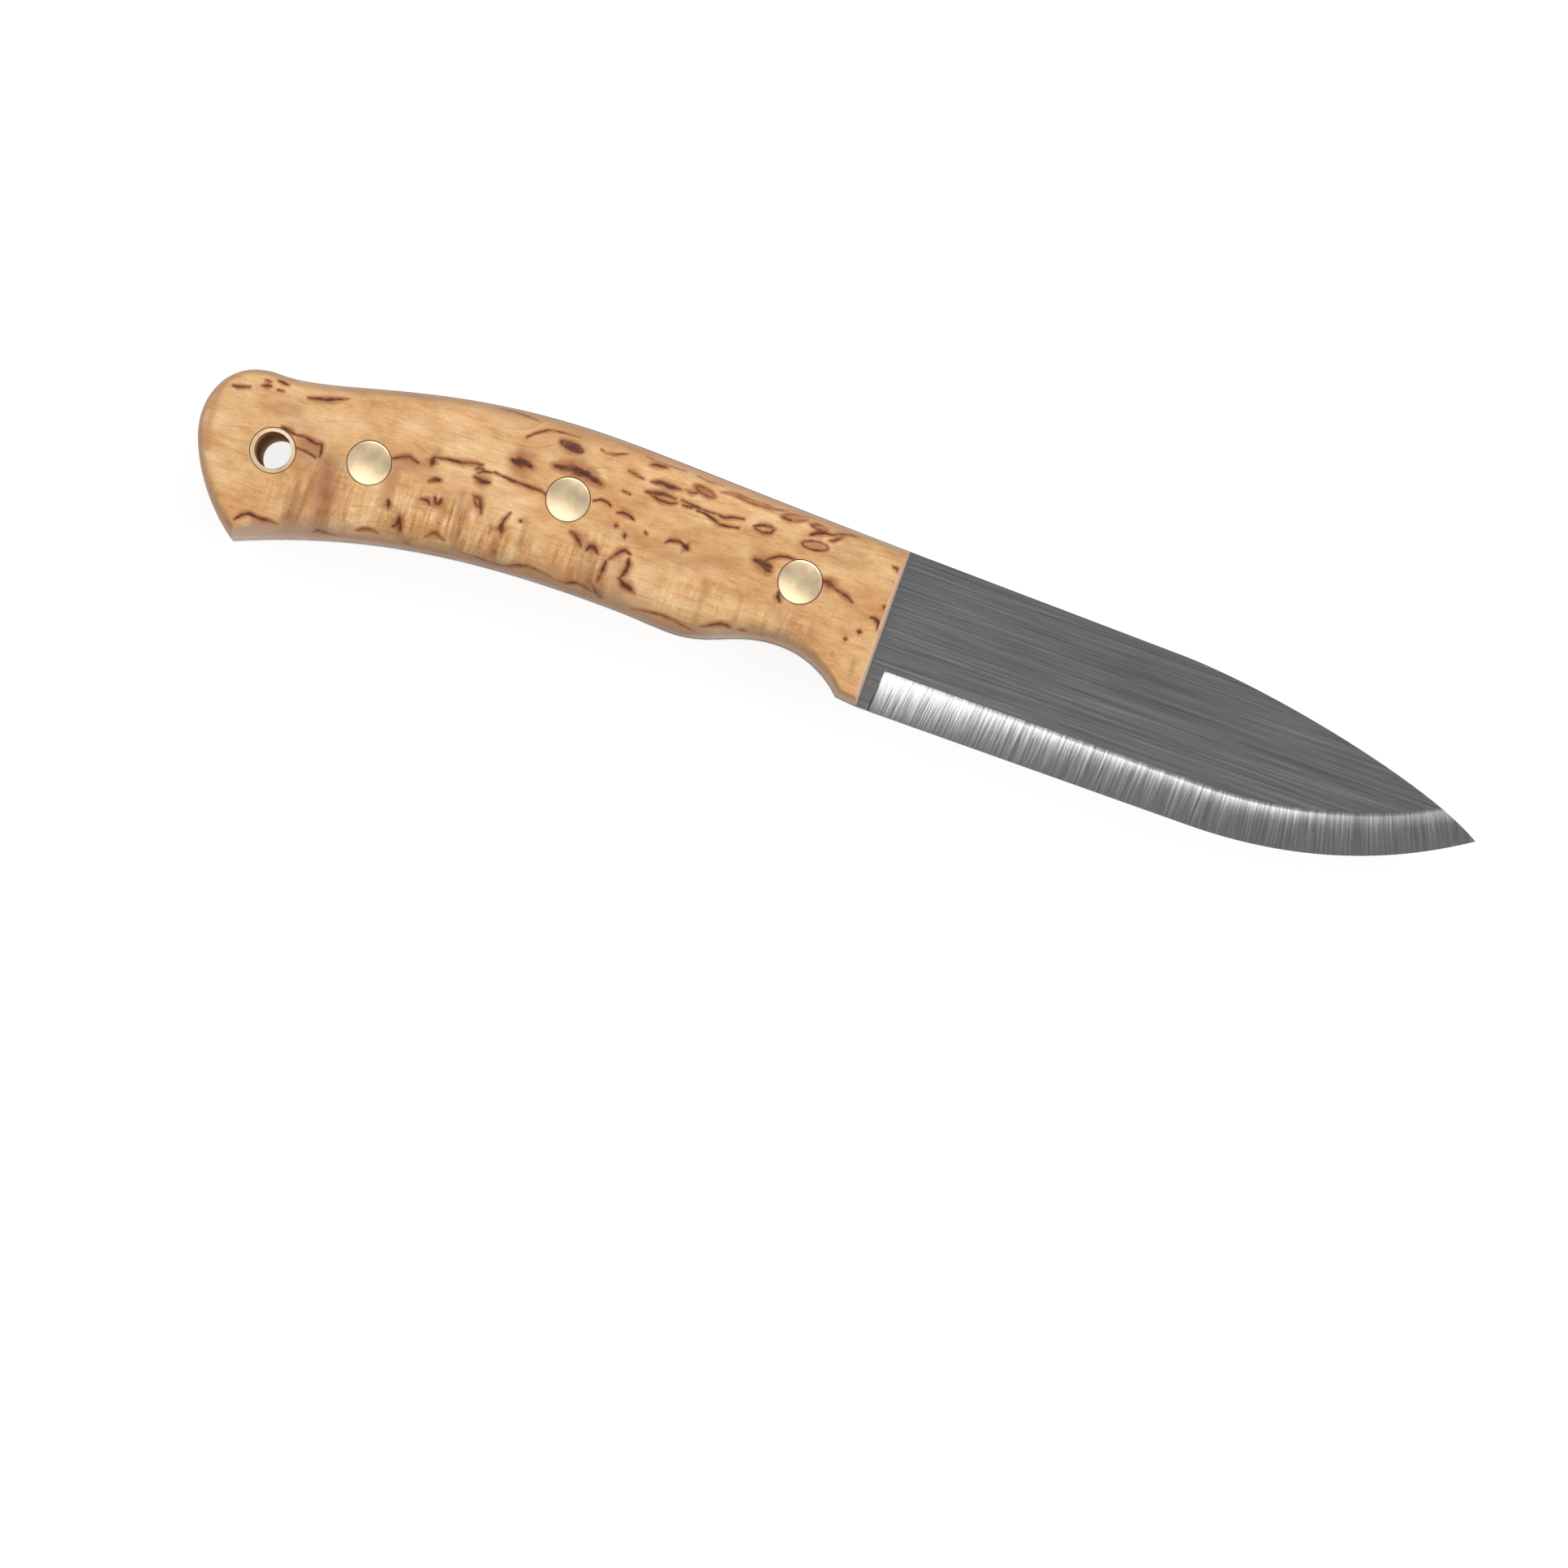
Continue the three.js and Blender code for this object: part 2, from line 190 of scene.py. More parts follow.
def bevel_stations(spine):
    """Places along the edge, from the plunge to the tip, and the last with the bevel's full width.

    Each is the point, the way inward, the bevel's width, the walk so far and its full width.
    """
    lean = (np.array(PLUNGE_TOP) - PLUNGE_BOTTOM) / BEVEL_WIDTH
    straight = EDGE_RISES[0] - PLUNGE_BOTTOM[0]
    walks = [*WALL_STATIONS, *np.linspace(PLUNGE_RUN, PLUNGE_FADE, FADE_STATIONS)]
    walks += list(np.linspace(PLUNGE_FADE, straight, STRAIGHT_STATIONS)[1:-1])
    stations = []
    for walk in walks:
        way = lean + (np.array((0, 1)) - lean) * walk / straight
        place = np.array((PLUNGE_BOTTOM[0] + walk, PLUNGE_BOTTOM[1]))
        stations.append((place, way, BEVEL_WIDTH, walk, BEVEL_WIDTH))
    curve = np.vstack([along(RISING_EDGE, CURVE_STEP), TIP])
    walk = straight
    reached = False
    for i, point in enumerate(curve[:-1]):
        tangent = curve[i + 1] - curve[max(i - 1, 0)]
        way = np.array((-tangent[1], tangent[0])) / np.linalg.norm(tangent)
        full_width = BEVEL_WIDTH - TIP_NARROWING * smoothstep(point[0], *NARROWS_OVER)
        width = min(full_width, spine_distance(point, way, spine))
        if width < full_width and not reached:
            # The last full-width place is found between this station and the one before, by
            # halving.
            reached = True
            before, way_before, _, walk_before, _ = stations[-1]
            lower, upper = 0.0, 1.0
            for _ in range(30):
                share = (lower + upper) / 2
                trial = before + (point - before) * share
                trial_way = way_before + (way - way_before) * share
                full = spine_distance(trial, trial_way, spine) >= full_width
                lower, upper = (share, upper) if full else (lower, share)
            walked = walk_before + lower * np.linalg.norm(point - before)
            stations.append((trial, trial_way, full_width, walked, full_width))
            crossing = len(stations) - 1
        stations.append((point, way, width, walk, full_width))
        walk += np.linalg.norm(curve[i + 1] - point)
    stations.append((curve[-1], way, 0.0, walk, full_width))
    return stations, crossing


spine = np.vstack([along(FALLING_SPINE, CURVE_STEP), SPINE_FALLS])
stations, crossing = bevel_stations(spine)
half_edge = EDGE_THICKNESS / 2
bm = bmesh.new()
grind_place = {}

rows = []
for place, way, width, walk, full_width in stations:
    # The lip of the plunge is a little rounded.
    down_wall = min(walk / PLUNGE_RUN, 1)
    down_wall *= smoothstep(down_wall, -0.15, 0.35)
    square = min(max((walk - PLUNGE_RUN) / (PLUNGE_FADE - PLUNGE_RUN), 0), 1)
    row = []
    corner = GRIND_LINE if width == full_width else 0
    for across in [*np.linspace(0, width - corner, BEVEL_ROWS), width]:
        share = across / full_width
        height = half_edge + (STOCK / 2 - half_edge) * share * (1 + BEVEL_BELLY * (1 - share))
        height -= GRIND_LINE_DROP * smoothstep(share, 0.5, 0.95) * (across < full_width)
        height += (STOCK / 2 - height) * (1 - down_wall)
        x, y = place + way * across
        x -= share * PLUNGE_CLOSING * min(walk, PLUNGE_RUN) * (1 - square)
        row.append(bm.verts.new((x, y, min(height, STOCK / 2))))
        grind_place[round(x, 3), round(y, 3)] = (walk, across)
    rows.append(row)
for row, ahead in zip(rows, rows[1:]):
    for a, b, c, d in zip(row, ahead, ahead[1:], row[1:]):
        bm.faces.new((a, b, c, d)).material_index = 1

handle_outline = np.vstack([along(curve, CURVE_STEP) for curve in BACK_AND_BUTT + BELLY])
plunge_line = [v.co.xy for v in rows[0]]
grind_line = [row[-1].co.xy for row in rows[1 : crossing + 1]]
after_crossing = [p for p in spine if p[0] < grind_line[-1].x - 0.05]
flat_outline = [*handle_outline, GUARD_CORNER, FRONT_OF_BELLY, *plunge_line, *grind_line, *after_crossing]
holes = [(place, RIVET_HOLE) for place in RIVETS.values()] + [(TUBE, TUBE_HOLE)]
points, triangles = filled(flat_outline, holes)
flat_corners = [bm.verts.new((p.x, p.y, STOCK / 2)) for p in points]
for triangle in triangles:
    bm.faces.new([flat_corners[i] for i in triangle])
bmesh.ops.remove_doubles(bm, verts=bm.verts, dist=2e-3)

# The other half is the mirror image, and the sides join the two.
rim = [edge.link_loops[0] for edge in bm.edges if len(edge.link_faces) == 1]
rim = [(loop.vert, loop.link_loop_next.vert) for loop in rim]
upper_faces = list(bm.faces)
mirrored = {v: bm.verts.new((v.co.x, v.co.y, -v.co.z)) for v in list(bm.verts)}
for face in upper_faces:
    turned_over = bm.faces.new([mirrored[v] for v in reversed(face.verts)])
    turned_over.material_index = face.material_index
for a, b in rim:
    bm.faces.new((b, a, mirrored[a], mirrored[b]))

# The first axis of this map runs along the bar on the flats, and along the edge on the bevels.
finish_map = bm.loops.layers.uv.new("finish")
for face in bm.faces:
    for loop in face.loops:
        x, y, _ = loop.vert.co
        walk, across = grind_place.get((round(x, 3), round(y, 3)), (x, y))
        loop[finish_map].uv = (walk, across) if face.material_index else (x, y)
blade = finish_mesh(bm, "blade_and_tang", crease=7, sharp_between_finishes=True)


class Nodes:
    """Adds nodes to a new material's tree and joins them up."""

    def __init__(self, name):
        self.material = bpy.data.materials.new(name)
        self.material.use_nodes = True
        self.tree = self.material.node_tree
        self.surface = self.tree.nodes["Principled BSDF"]

    def add(self, kind, settings=None, **inputs):
        node = self.tree.nodes.new(kind)
        for setting, value in (settings or {}).items():
            setattr(node, setting, value)
        for socket, value in inputs.items():
            self.feed(node, socket.replace("_", " "), value)
        return node

    def feed(self, node, socket, value):
        target = node.inputs[int(socket) if socket.isdigit() else socket]
        if isinstance(value, bpy.types.NodeSocket):
            self.tree.links.new(value, target)
        else:
            target.default_value = value

    def maths(self, operation, *values, clamp=False):
        node = self.tree.nodes.new("ShaderNodeMath")
        node.operation = operation
        node.use_clamp = clamp
        for i, value in enumerate(values):
            self.feed(node, str(i), value)
        return node.outputs[0]

    def stretched(self, source, scale, turn=0.0):
        node = self.add("ShaderNodeMapping", Vector=source, Scale=scale)
        node.inputs["Rotation"].default_value = (0, 0, turn)
        return node.outputs[0]

    def noise(self, where, scale=1.0, detail=3.0, roughness=0.55, distortion=0.0):
        node = self.add("ShaderNodeTexNoise", Vector=where, Scale=scale, Detail=detail)
        node.inputs["Roughness"].default_value = roughness
        node.inputs["Distortion"].default_value = distortion
        return node.outputs["Fac"]

    def spread(self, value, low, high, to_low=0.0, to_high=1.0, smooth=False):
        node = self.add("ShaderNodeMapRange", Value=value)
        node.interpolation_type = "SMOOTHSTEP" if smooth else "LINEAR"
        for socket, number in zip(("From Min", "From Max", "To Min", "To Max"), (low, high, to_low, to_high)):
            self.feed(node, socket, number)
        return node.outputs[0]

    def blend(self, share, first, second):
        node = self.tree.nodes.new("ShaderNodeMix")
        node.data_type = "RGBA"
        self.feed(node, "0", share)
        self.feed(node, "6", first)
        self.feed(node, "7", second)
        return node.outputs[2]

    def bumped(self, height, distance, strength=1.0):
        return self.add("ShaderNodeBump", Height=height, Distance=distance, Strength=strength).outputs[0]


def tint(red, green, blue):
    """A colour as the eye reads it, 0 to 255, turned to amounts of light."""
    light = [c / 255 for c in (red, green, blue)]
    return (*[c / 12.92 if c <= 0.04045 else ((c + 0.055) / 1.055) ** 2.4 for c in light], 1.0)


def scratched_steel(name, lengthwise, shade, contrast, gloss, depth):
    """Steel with straight abrasive scratches along or across the grind."""
    n = Nodes(name)
    laid = n.add("ShaderNodeUVMap", {"uv_map": "finish"}).outputs[0]
    if lengthwise:
        fine, broad = (0.035, 2.4, 1), (0.02, 0.6, 1)
    else:
        fine, broad = (2.6, 0.08, 1), (0.9, 0.05, 1)
    hairlines = n.noise(n.stretched(laid, fine), detail=2, roughness=0.8)
    bands = n.noise(n.stretched(laid, broad), detail=2)
    tone = n.maths("ADD", n.spread(hairlines, 0.3, 0.7, -0.8, 0.8), n.spread(bands, 0.3, 0.7, -0.2, 0.2))
    darker = tint(*[c - contrast for c in shade])
    lighter = tint(*[c + contrast for c in shade])
    n.feed(n.surface, "Base Color", n.blend(n.spread(tone, -1, 1), darker, lighter))
    n.feed(n.surface, "Roughness", n.spread(tone, -1, 1, gloss - 0.03, gloss + 0.03))
    n.feed(n.surface, "Normal", n.bumped(hairlines, depth))
    n.surface.inputs["Metallic"].default_value = 1.0
    return n.material


blade.data.materials.append(scratched_steel("satin_flat", True, (165, 165, 166), 20, 0.2, 0.000002))
blade.data.materials.append(scratched_steel("ground_bevel", False, (194, 194, 194), 38, 0.13, 0.000008))
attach(blade, "root")
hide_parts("blade")


# ---- The scales ---------------------------------------------------------------------------
# Two slabs of curly birch, glued and riveted to the tang, shaped to the palm and oiled. The
# figure is dark flecks and eyes in honey-coloured wood, and curly grain low on the side.

SCALE_THICKNESS = 8.35
GLUE = 0.05
REVEAL = 0.15  # how far the tang shows past the wood
CROWN = 0.02  # the share of the thickness by which the face falls to its sides
HEAD_HOLE = 3.6  # the radius of the wider mouth that takes a rivet's head
HEAD_HOLE_DEPTH = 5.1

# How far in from the outline the wood reaches its full thickness.
SIDE_ROUNDING = 5.5
BUTT_ROUNDING = 2.1
FRONT_ROUNDING = 0.8
BELLY_AT_THE_FRONT = 1.2
BACK_AT_THE_FRONT = 4
ROUNDING_POWER = 2.4  # 2 would be a quarter of an ellipse, and more is squarer
ROUNDING_ROWS = 34
ROW_SPACING_WIDTH = 7  # the rows are evenly spaced on a rounding of this width

OUTLINE_STEP = 3
FINER = 8  # the parts that each step of the outline is then divided into
FACE_GRID = 0.22


def rounding_at(x, y):
    """The width of the rounding here: less towards the front and round the butt."""
    at_front, eases_over = (BELLY_AT_THE_FRONT, (-30, -3)) if y < 0 else (BACK_AT_THE_FRONT, (-25, 0))
    side = SIDE_ROUNDING + (at_front - SIDE_ROUNDING) * smoothstep(x, *eases_over)
    return BUTT_ROUNDING + (side - BUTT_ROUNDING) * smoothstep(x, -104, -86)


def inward(outline, depths):
    """For each point, the move that brings the edges on both sides of it in by their depths."""
    ahead = np.roll(outline, -1, axis=0) - outline
    ahead /= np.linalg.norm(ahead, axis=1)[:, None]
    normals = np.column_stack([-ahead[:, 1], ahead[:, 0]])
    moves = []
    for i, b in enumerate(normals):
        a = normals[i - 1]
        depth_a, depth_b = depths[i - 1], depths[i]
        if a @ b > 0.97:
            moves.append((a + b) * (depth_a + depth_b) / 2 / (1 + a @ b))
        else:
            # At a corner the two moved edges meet in a mitre.
            meet = (depth_a * b[1] - depth_b * a[1], depth_b * a[0] - depth_a * b[0])
            moves.append(np.array(meet) / (a[0] * b[1] - a[1] * b[0]))
    return np.array(moves)


def finer(points):
    """Points between the given ones, on a smooth curve through them, without the last."""
    padded = np.vstack([2 * points[0] - points[1], points, 2 * points[-1] - points[-2]])
    made = []
    for before, a, b, after in zip(padded, padded[1:], padded[2:], padded[3:]):
        for t in np.arange(FINER) / FINER:
            bend = (2 * before - 5 * a + 4 * b - after) * t**2
            twist = (3 * a - before - 3 * b + after) * t**3
            made.append((2 * a + (b - before) * t + bend + twist) / 2)
    return np.array(made)


def scale_rings():
    """The scale's outline at the tang and its inner line, where the rounding meets the face."""
    stretches = [
        np.vstack([along(curve, OUTLINE_STEP) for curve in BACK_AND_BUTT]),
        np.vstack([along(curve, OUTLINE_STEP) for curve in BELLY]),
        np.array([GUARD_CORNER]),
        np.array([FRONT_OF_BELLY]),
    ]
    edge = np.vstack(stretches)
    front = len(edge) - 1
    reveals = [0 if i == front else REVEAL for i in range(len(edge))]
    outline = edge + inward(edge, reveals)
    middles = (outline + np.roll(outline, -1, axis=0)) / 2
    depths = [FRONT_ROUNDING if i == front else rounding_at(*place) for i, place in enumerate(middles)]
    inner = outline + inward(outline, depths)
    outer_fine, inner_fine = [], []
    start = 0
    for stretch in stretches:
        picked = [(start + i) % len(edge) for i in range(len(stretch) + 1)]
        outer_fine.append(finer(outline[picked]))
        inner_fine.append(finer(inner[picked]))
        start += len(stretch)
    return np.vstack(outer_fine), np.vstack(inner_fine)


def rounding_profile():
    """Shares of the way in and up, evenly spaced along a quarter of a rounded square."""
    turn = np.linspace(0, math.pi / 2, 300)
    inset = 1 - np.clip(np.cos(turn), 0, 1) ** (2 / ROUNDING_POWER)
    rise = np.sin(turn) ** (2 / ROUNDING_POWER)
    steps = np.hypot(np.diff(inset) * ROW_SPACING_WIDTH, np.diff(rise) * SCALE_THICKNESS)
    walked = np.concatenate([[0], np.cumsum(steps)])
    stops = np.linspace(0, walked[-1], ROUNDING_ROWS + 1)
    return list(zip(np.interp(stops, walked, inset), np.interp(stops, walked, rise)))


outer_line, inner_line = scale_rings()
# The bottom and the top of the outline at each millimetre of its length.
sides_at = {}
for x in range(-113, 1):
    nearby = [y for outline_x, y in outer_line if abs(outline_x - x) < 1.0]
    if nearby:
        sides_at[x] = (min(nearby), max(nearby))


def crowned(x, y, rise):
    """Height above the bed. The face is very slightly domed from side to side."""
    bottom, top = sides_at[min(max(round(x), -112), -1)]
    off_centre = min(abs(y - (top + bottom) / 2) / ((top - bottom) / 2), 1)
    return rise * SCALE_THICKNESS * (1 - CROWN * off_centre**2)


def scale_mesh(side):
    """One slab, with its rounded sides, its face, its back on the tang and its stepped holes."""
    bm = bmesh.new()
    bed = STOCK / 2 + GLUE

    def corner(x, y, height):
        return bm.verts.new((x, y, side * (bed + height)))

    rings = []
    for inset, rise in rounding_profile():
        ring = outer_line + (inner_line - outer_line) * inset
        rings.append([corner(x, y, crowned(x, y, rise)) for x, y in ring])
    for ring, above in zip(rings, rings[1:]):
        for i in range(len(ring)):
            j = (i + 1) % len(ring)
            bm.faces.new((ring[i], ring[j], above[j], above[i]))

    inside = KDTree(len(inner_line))
    for i, (x, y) in enumerate(inner_line):
        inside.insert((x, y, 0), i)
    inside.balance()
    # The face has a fine grid of even triangles, because the figure is drawn on its points.
    grid = []
    row_gap = FACE_GRID * 0.866
    for row, y in enumerate(np.arange(-22, 14, row_gap)):
        for x in np.arange(-113 + row % 2 * FACE_GRID / 2, 0, FACE_GRID):
            place, nearest, distance = inside.find((x, y, 0))
            if distance < FACE_GRID * 0.6:
                continue
            # Points left of the line's direction are inside it.
            ahead = inner_line[(nearest + 1) % len(inner_line)] - inner_line[nearest - 1]
            if ahead[0] * (y - place.y) - ahead[1] * (x - place.x) <= 0:
                continue
            if all(abs(math.hypot(x - cx, y - cy) - r) > FACE_GRID * 0.5 for (cx, cy), r in mouths):
                grid.append((x, y))
    points, triangles = filled(inner_line, mouths, grid)
    used = {i for triangle in triangles for i in triangle}
    face = {i: corner(p.x, p.y, crowned(p.x, p.y, 1)) for i, p in enumerate(points) if i in used}
    for triangle in triangles:
        bm.faces.new([face[i] for i in triangle])
    points, triangles = filled(outer_line, throats)
    back = [corner(p.x, p.y, 0) for p in points]
    for triangle in triangles:
        bm.faces.new([back[i] for i in triangle])

    for (centre, mouth), (_, throat) in zip(mouths, throats):
        shoulder = SCALE_THICKNESS - HEAD_HOLE_DEPTH if mouth != throat else 0
        levels = [(mouth, None), (mouth, shoulder)]
        levels += [(throat, shoulder), (throat, 0)] if mouth != throat else []
        walls = []
        for radius, height in levels:
            ring = circle(centre, radius)
            walls.append([corner(x, y, crowned(x, y, 1) if height is None else height) for x, y in ring])
        for ring, below in zip(walls, walls[1:]):
            for i in range(len(ring)):
                j = (i + 1) % len(ring)
                bm.faces.new((ring[i], ring[j], below[j], below[i]))
    return bm


mouths = [(place, HEAD_HOLE) for place in RIVETS.values()] + [(TUBE, TUBE_HOLE)]
throats = [(place, RIVET_HOLE) for place in RIVETS.values()] + [(TUBE, TUBE_HOLE)]

# Flecks of the upper scale, each with its width at its thickest and its path over the face.
FLECKS = [
    (1.5, [(-63.6, 4.5), (-62.3, 4.7), (-60.8, 4.6)]),
    (0.35, [(-62.9, 8.7), (-62, 9.6), (-60, 11.1), (-57.5, 11.5), (-55, 11.6)]),
    (1.2, [(-57.2, 6), (-54.5, 6.5), (-52, 6.3), (-49.4, 5.6)]),
    (0.5, [(-81.5, -1.5), (-80, -0.7), (-79, -0.4), (-77.5, -0.9)]),
    (0.8, [(-75.5, 0.7), (-75.5, -0.4)]),
    (0.45, [(-75.5, 0.9), (-73, 1.3), (-71, 1.6), (-69, 2.1), (-67.9, 2.3)]),
    (0.4, [(-68.2, 1.9), (-68.5, 1.5), (-67.6, 1.7)]),
    (0.8, [(-68.4, 0.1), (-67, -0.2), (-66, 0)]),
    (0.3, [(-68.2, 0.8), (-67.4, 1.4), (-66.2, 1.6)]),
    (0.4, [(-65.8, 1.8), (-63, 1.5), (-60.5, 1.5), (-58, 1.5), (-57, 1.2)]),
    (0.45, [(-75, -3), (-74.3, -2.3), (-73.5, -2.2), (-74.5, -2.9)]),
    (0.6, [(-73.3, -5), (-72.8, -6), (-72.3, -5.8), (-72.2, -4.9)]),
    (0.45, [(-75.2, -6), (-74.2, -5.9), (-73.6, -6.4)]),
    (0.5, [(-67.6, -2.8), (-66.6, -2.9), (-66, -3.9), (-65.6, -5)]),
    (0.3, [(-67.4, -3.2), (-66.8, -4), (-66, -4.3)]),
    (0.45, [(-61.3, -3.4), (-61.8, -4.6), (-62, -5.8), (-61.5, -7.4)]),
    (0.8, [(-62.1, -5.6), (-61.6, -6.8)]),
    (0.5, [(-59.5, -4), (-59.2, -4.1)]),
    (0.55, [(-62, -10), (-61.3, -10)]),
    (0.5, [(-80, -7.9), (-79.7, -8.6), (-79.5, -9.2)]),
    (0.7, [(-77.6, -9.6), (-77.3, -10.8), (-78, -11.6)]),
    (0.5, [(-77.3, -9.9), (-77, -11), (-76.6, -12)]),
    (0.45, [(-72.7, -11.5), (-72, -10.6), (-71.3, -10.3), (-70.4, -10.7), (-69.8, -11)]),
    (0.4, [(-67, -11.9), (-64, -11.7), (-61, -11.7), (-58.5, -11.4), (-57, -11)]),
    (0.5, [(-75.8, -13.3), (-74.8, -13.4)]),
    (0.45, [(-83.3, -14.1), (-82.2, -13.5), (-81, -13.3), (-79.8, -13.4)]),
    (0.5, [(-89.6, -16.5), (-88.9, -16), (-87.5, -16.1), (-86, -15.8)]),
    (0.5, [(-101.7, -18.8), (-100.9, -17.8), (-99.8, -17.2), (-98, -17.4), (-96.5, -17.2), (-95, -17.4)]),
    (0.45, [(-96.9, -3.1), (-95.8, -2.9), (-95, -3.1), (-93.8, -3.4), (-92.8, -3.2), (-92.5, -4),
            (-92.4, -5.2)]),
    (0.3, [(-96.3, -5), (-95, -5), (-93, -5.4)]),
    (0.5, [(-99.6, -2.7), (-98.4, -2.8), (-97.2, -3.1)]),
    (0.35, [(-109, 0.9), (-108, 1), (-106.4, 1.6)]),
    (0.5, [(-104.7, 2.4), (-103.3, 2.8)]),
    (0.3, [(-104.4, 3.5), (-103.6, 3.4)]),
    (0.5, [(-102.7, 4.2), (-101.8, 4.1), (-100.8, 3.9)]),
    (0.25, [(-102.1, 2.6), (-101.2, 2.7)]),
    (0.55, [(-97.2, 3), (-95.5, 3.5), (-94, 3.9), (-92.6, 4.6), (-91.3, 5.1)]),
    (0.3, [(-51.2, 10.9), (-50.4, 10.6), (-49, 10.8), (-48, 11.3), (-47, 11.7)]),
    (0.7, [(-43.2, 11.2), (-42.2, 11.6), (-40.5, 11.8)]),
    (0.3, [(-44, 12.4), (-41, 12.2), (-37.5, 12.3)]),
    (0.3, [(-35.4, 12.2), (-33.6, 12), (-31.3, 12.2)]),
    (0.35, [(-46, 9.1), (-45, 9), (-43.5, 8.7)]),
    (0.65, [(-42, 8.7), (-40.6, 9), (-39.2, 8.9), (-37.2, 9.1)]),
    (0.45, [(-36.6, 9.3), (-35.4, 9.2), (-34.7, 9.4)]),
    (0.45, [(-31.3, 10.9), (-29.6, 11.2), (-26.5, 11), (-24, 11.1), (-22, 11.4), (-20.4, 11.8)]),
    (0.3, [(-31, 11), (-29.4, 11.7), (-28.6, 11.6), (-26, 11.5), (-23, 11.6)]),
    (0.65, [(-15.8, 9.1), (-15, 9.8), (-14, 10.2), (-12.7, 10.4)]),
    (0.5, [(-12.8, 10.3), (-11.4, 11), (-10, 11.5), (-8.4, 11.6)]),
    (0.35, [(-12.7, 9.3), (-12, 9.5), (-11.2, 10.3), (-10.6, 11)]),
    (0.55, [(-42.4, 6.9), (-41, 7.1), (-39.6, 7.5), (-37.6, 7.4)]),
    (0.45, [(-41.6, 6.7), (-40, 6.4), (-38.4, 6.4), (-37.2, 6.8)]),
    (0.35, [(-36.6, 7.5), (-35, 7.4), (-33, 7.2), (-31, 7.3)]),
    (0.35, [(-36.2, 6.9), (-34.8, 6.9)]),
    (0.35, [(-33.8, 6.8), (-32.4, 6.8), (-31, 6.4), (-29.8, 5.9), (-28.2, 6.1), (-26.8, 6.4)]),
    (0.35, [(-30.6, 7.3), (-29.4, 7.2), (-28.2, 7.7), (-26.4, 8)]),
    (0.4, [(-24.6, 7.5), (-23.6, 8), (-22.2, 8.3), (-21.3, 8.2)]),
    (0.35, [(-24.3, 7.2), (-23, 7), (-21.8, 7.3), (-21.4, 8)]),
    (0.25, [(-45.8, 5.8), (-44.6, 5.7)]),
    (0.3, [(-49.6, 2.8), (-48.6, 3.4), (-47.4, 3.3), (-46.8, 2.9)]),
    (0.45, [(-45.5, 2.3), (-44.6, 2.6), (-43.6, 2.5), (-42.7, 2.1)]),
    (0.6, [(-45.2, 0.3), (-44.8, 0.3)]),
    (0.35, [(-40.4, 0.9), (-40, 0.6)]),
    (0.5, [(-43.3, -0.4), (-43.1, -1.1)]),
    (0.4, [(-36.8, 0.4), (-36.2, 1), (-35, 1.3), (-33.8, 1.1)]),
    (0.9, [(-34, 0.9), (-33.2, 0.6)]),
    (0.4, [(-21.4, 2.8), (-20.4, 3.6), (-19.3, 4.4), (-18, 4.7), (-16.6, 4.7)]),
    (1.1, [(-22.6, 2.5), (-21.2, 2.4), (-20, 2.3)]),
    (0.7, [(-21.4, 2), (-20.2, 1.7), (-19.7, 1.6)]),
    (0.9, [(-11.4, 3.1), (-10.4, 2.9), (-9.9, 2.8)]),
    (0.45, [(-9.8, 2.6), (-8.4, 2.2), (-7, 1.9), (-6, 1.4)]),
    (0.6, [(-17.5, -1), (-17.2, -1.9), (-16.8, -2.4)]),
    (0.6, [(-3.7, -2.6), (-3.2, -2.6)]),
    (0.6, [(-5.3, -4.4), (-5, -4.4)]),
    (0.45, [(-2.5, 0.1), (-1.8, 0.2), (-1.1, -0.2), (-0.9, -1.4)]),
    (0.5, [(-1.2, 2.5), (-0.8, 2.1)]),
    (0.4, [(-1.8, 8.8), (-1.2, 8.7), (-0.9, 8.3)]),
    (0.55, [(-51.5, -3), (-50.6, -3.1), (-49.8, -3.9), (-49.1, -4.6)]),
    (0.6, [(-48.1, -4.9), (-47.8, -4.1), (-47, -4.1), (-46.3, -4.8)]),
    (0.5, [(-44.3, -5), (-43.6, -4.1), (-43, -3.3), (-42.4, -2.8), (-41.4, -3.2)]),
    (0.6, [(-41.4, -3.9), (-41.1, -5), (-41.3, -6.3), (-41.7, -7.2)]),
    (0.75, [(-41.8, -7.3), (-40.9, -7.9), (-39.8, -8.3), (-38.8, -8.7)]),
    (0.5, [(-44.6, -5.4), (-44.7, -7), (-44.9, -9)]),
    (0.5, [(-45.4, -9.8), (-44.2, -10.8), (-43.3, -11.3)]),
    (0.45, [(-60, -11.5), (-57.6, -10.7), (-56, -10.4), (-54, -10.6), (-52, -10.7)]),
    (0.5, [(-51.4, -11), (-49.6, -10.9), (-48.2, -10.3), (-47, -10.4), (-44.6, -10.9)]),
    (0.4, [(-38.5, -11.2), (-36.6, -10.9), (-34, -10.6), (-31.5, -10.7), (-28, -11.2)]),
    (0.5, [(-27.4, -10.4), (-26, -9.6), (-24.6, -8.8), (-23.5, -8.6), (-22.7, -8.8)]),
    (0.45, [(-21.5, -8.6), (-20.1, -8.4)]),
    (0.4, [(-18.1, -8.1), (-17.7, -8.1)]),
    (0.35, [(-16.4, -8), (-16, -8)]),
    (0.5, [(-69, 11.9), (-66, 12.2), (-62, 12)]),
    (0.9, [(-56.8, 9.7), (-55.6, 9.7), (-54.4, 9.5)]),
    (0.25, [(-112, -7.6), (-110.6, -11.6), (-108, -15.4), (-104.8, -18.8), (-102.2, -21)]),
]
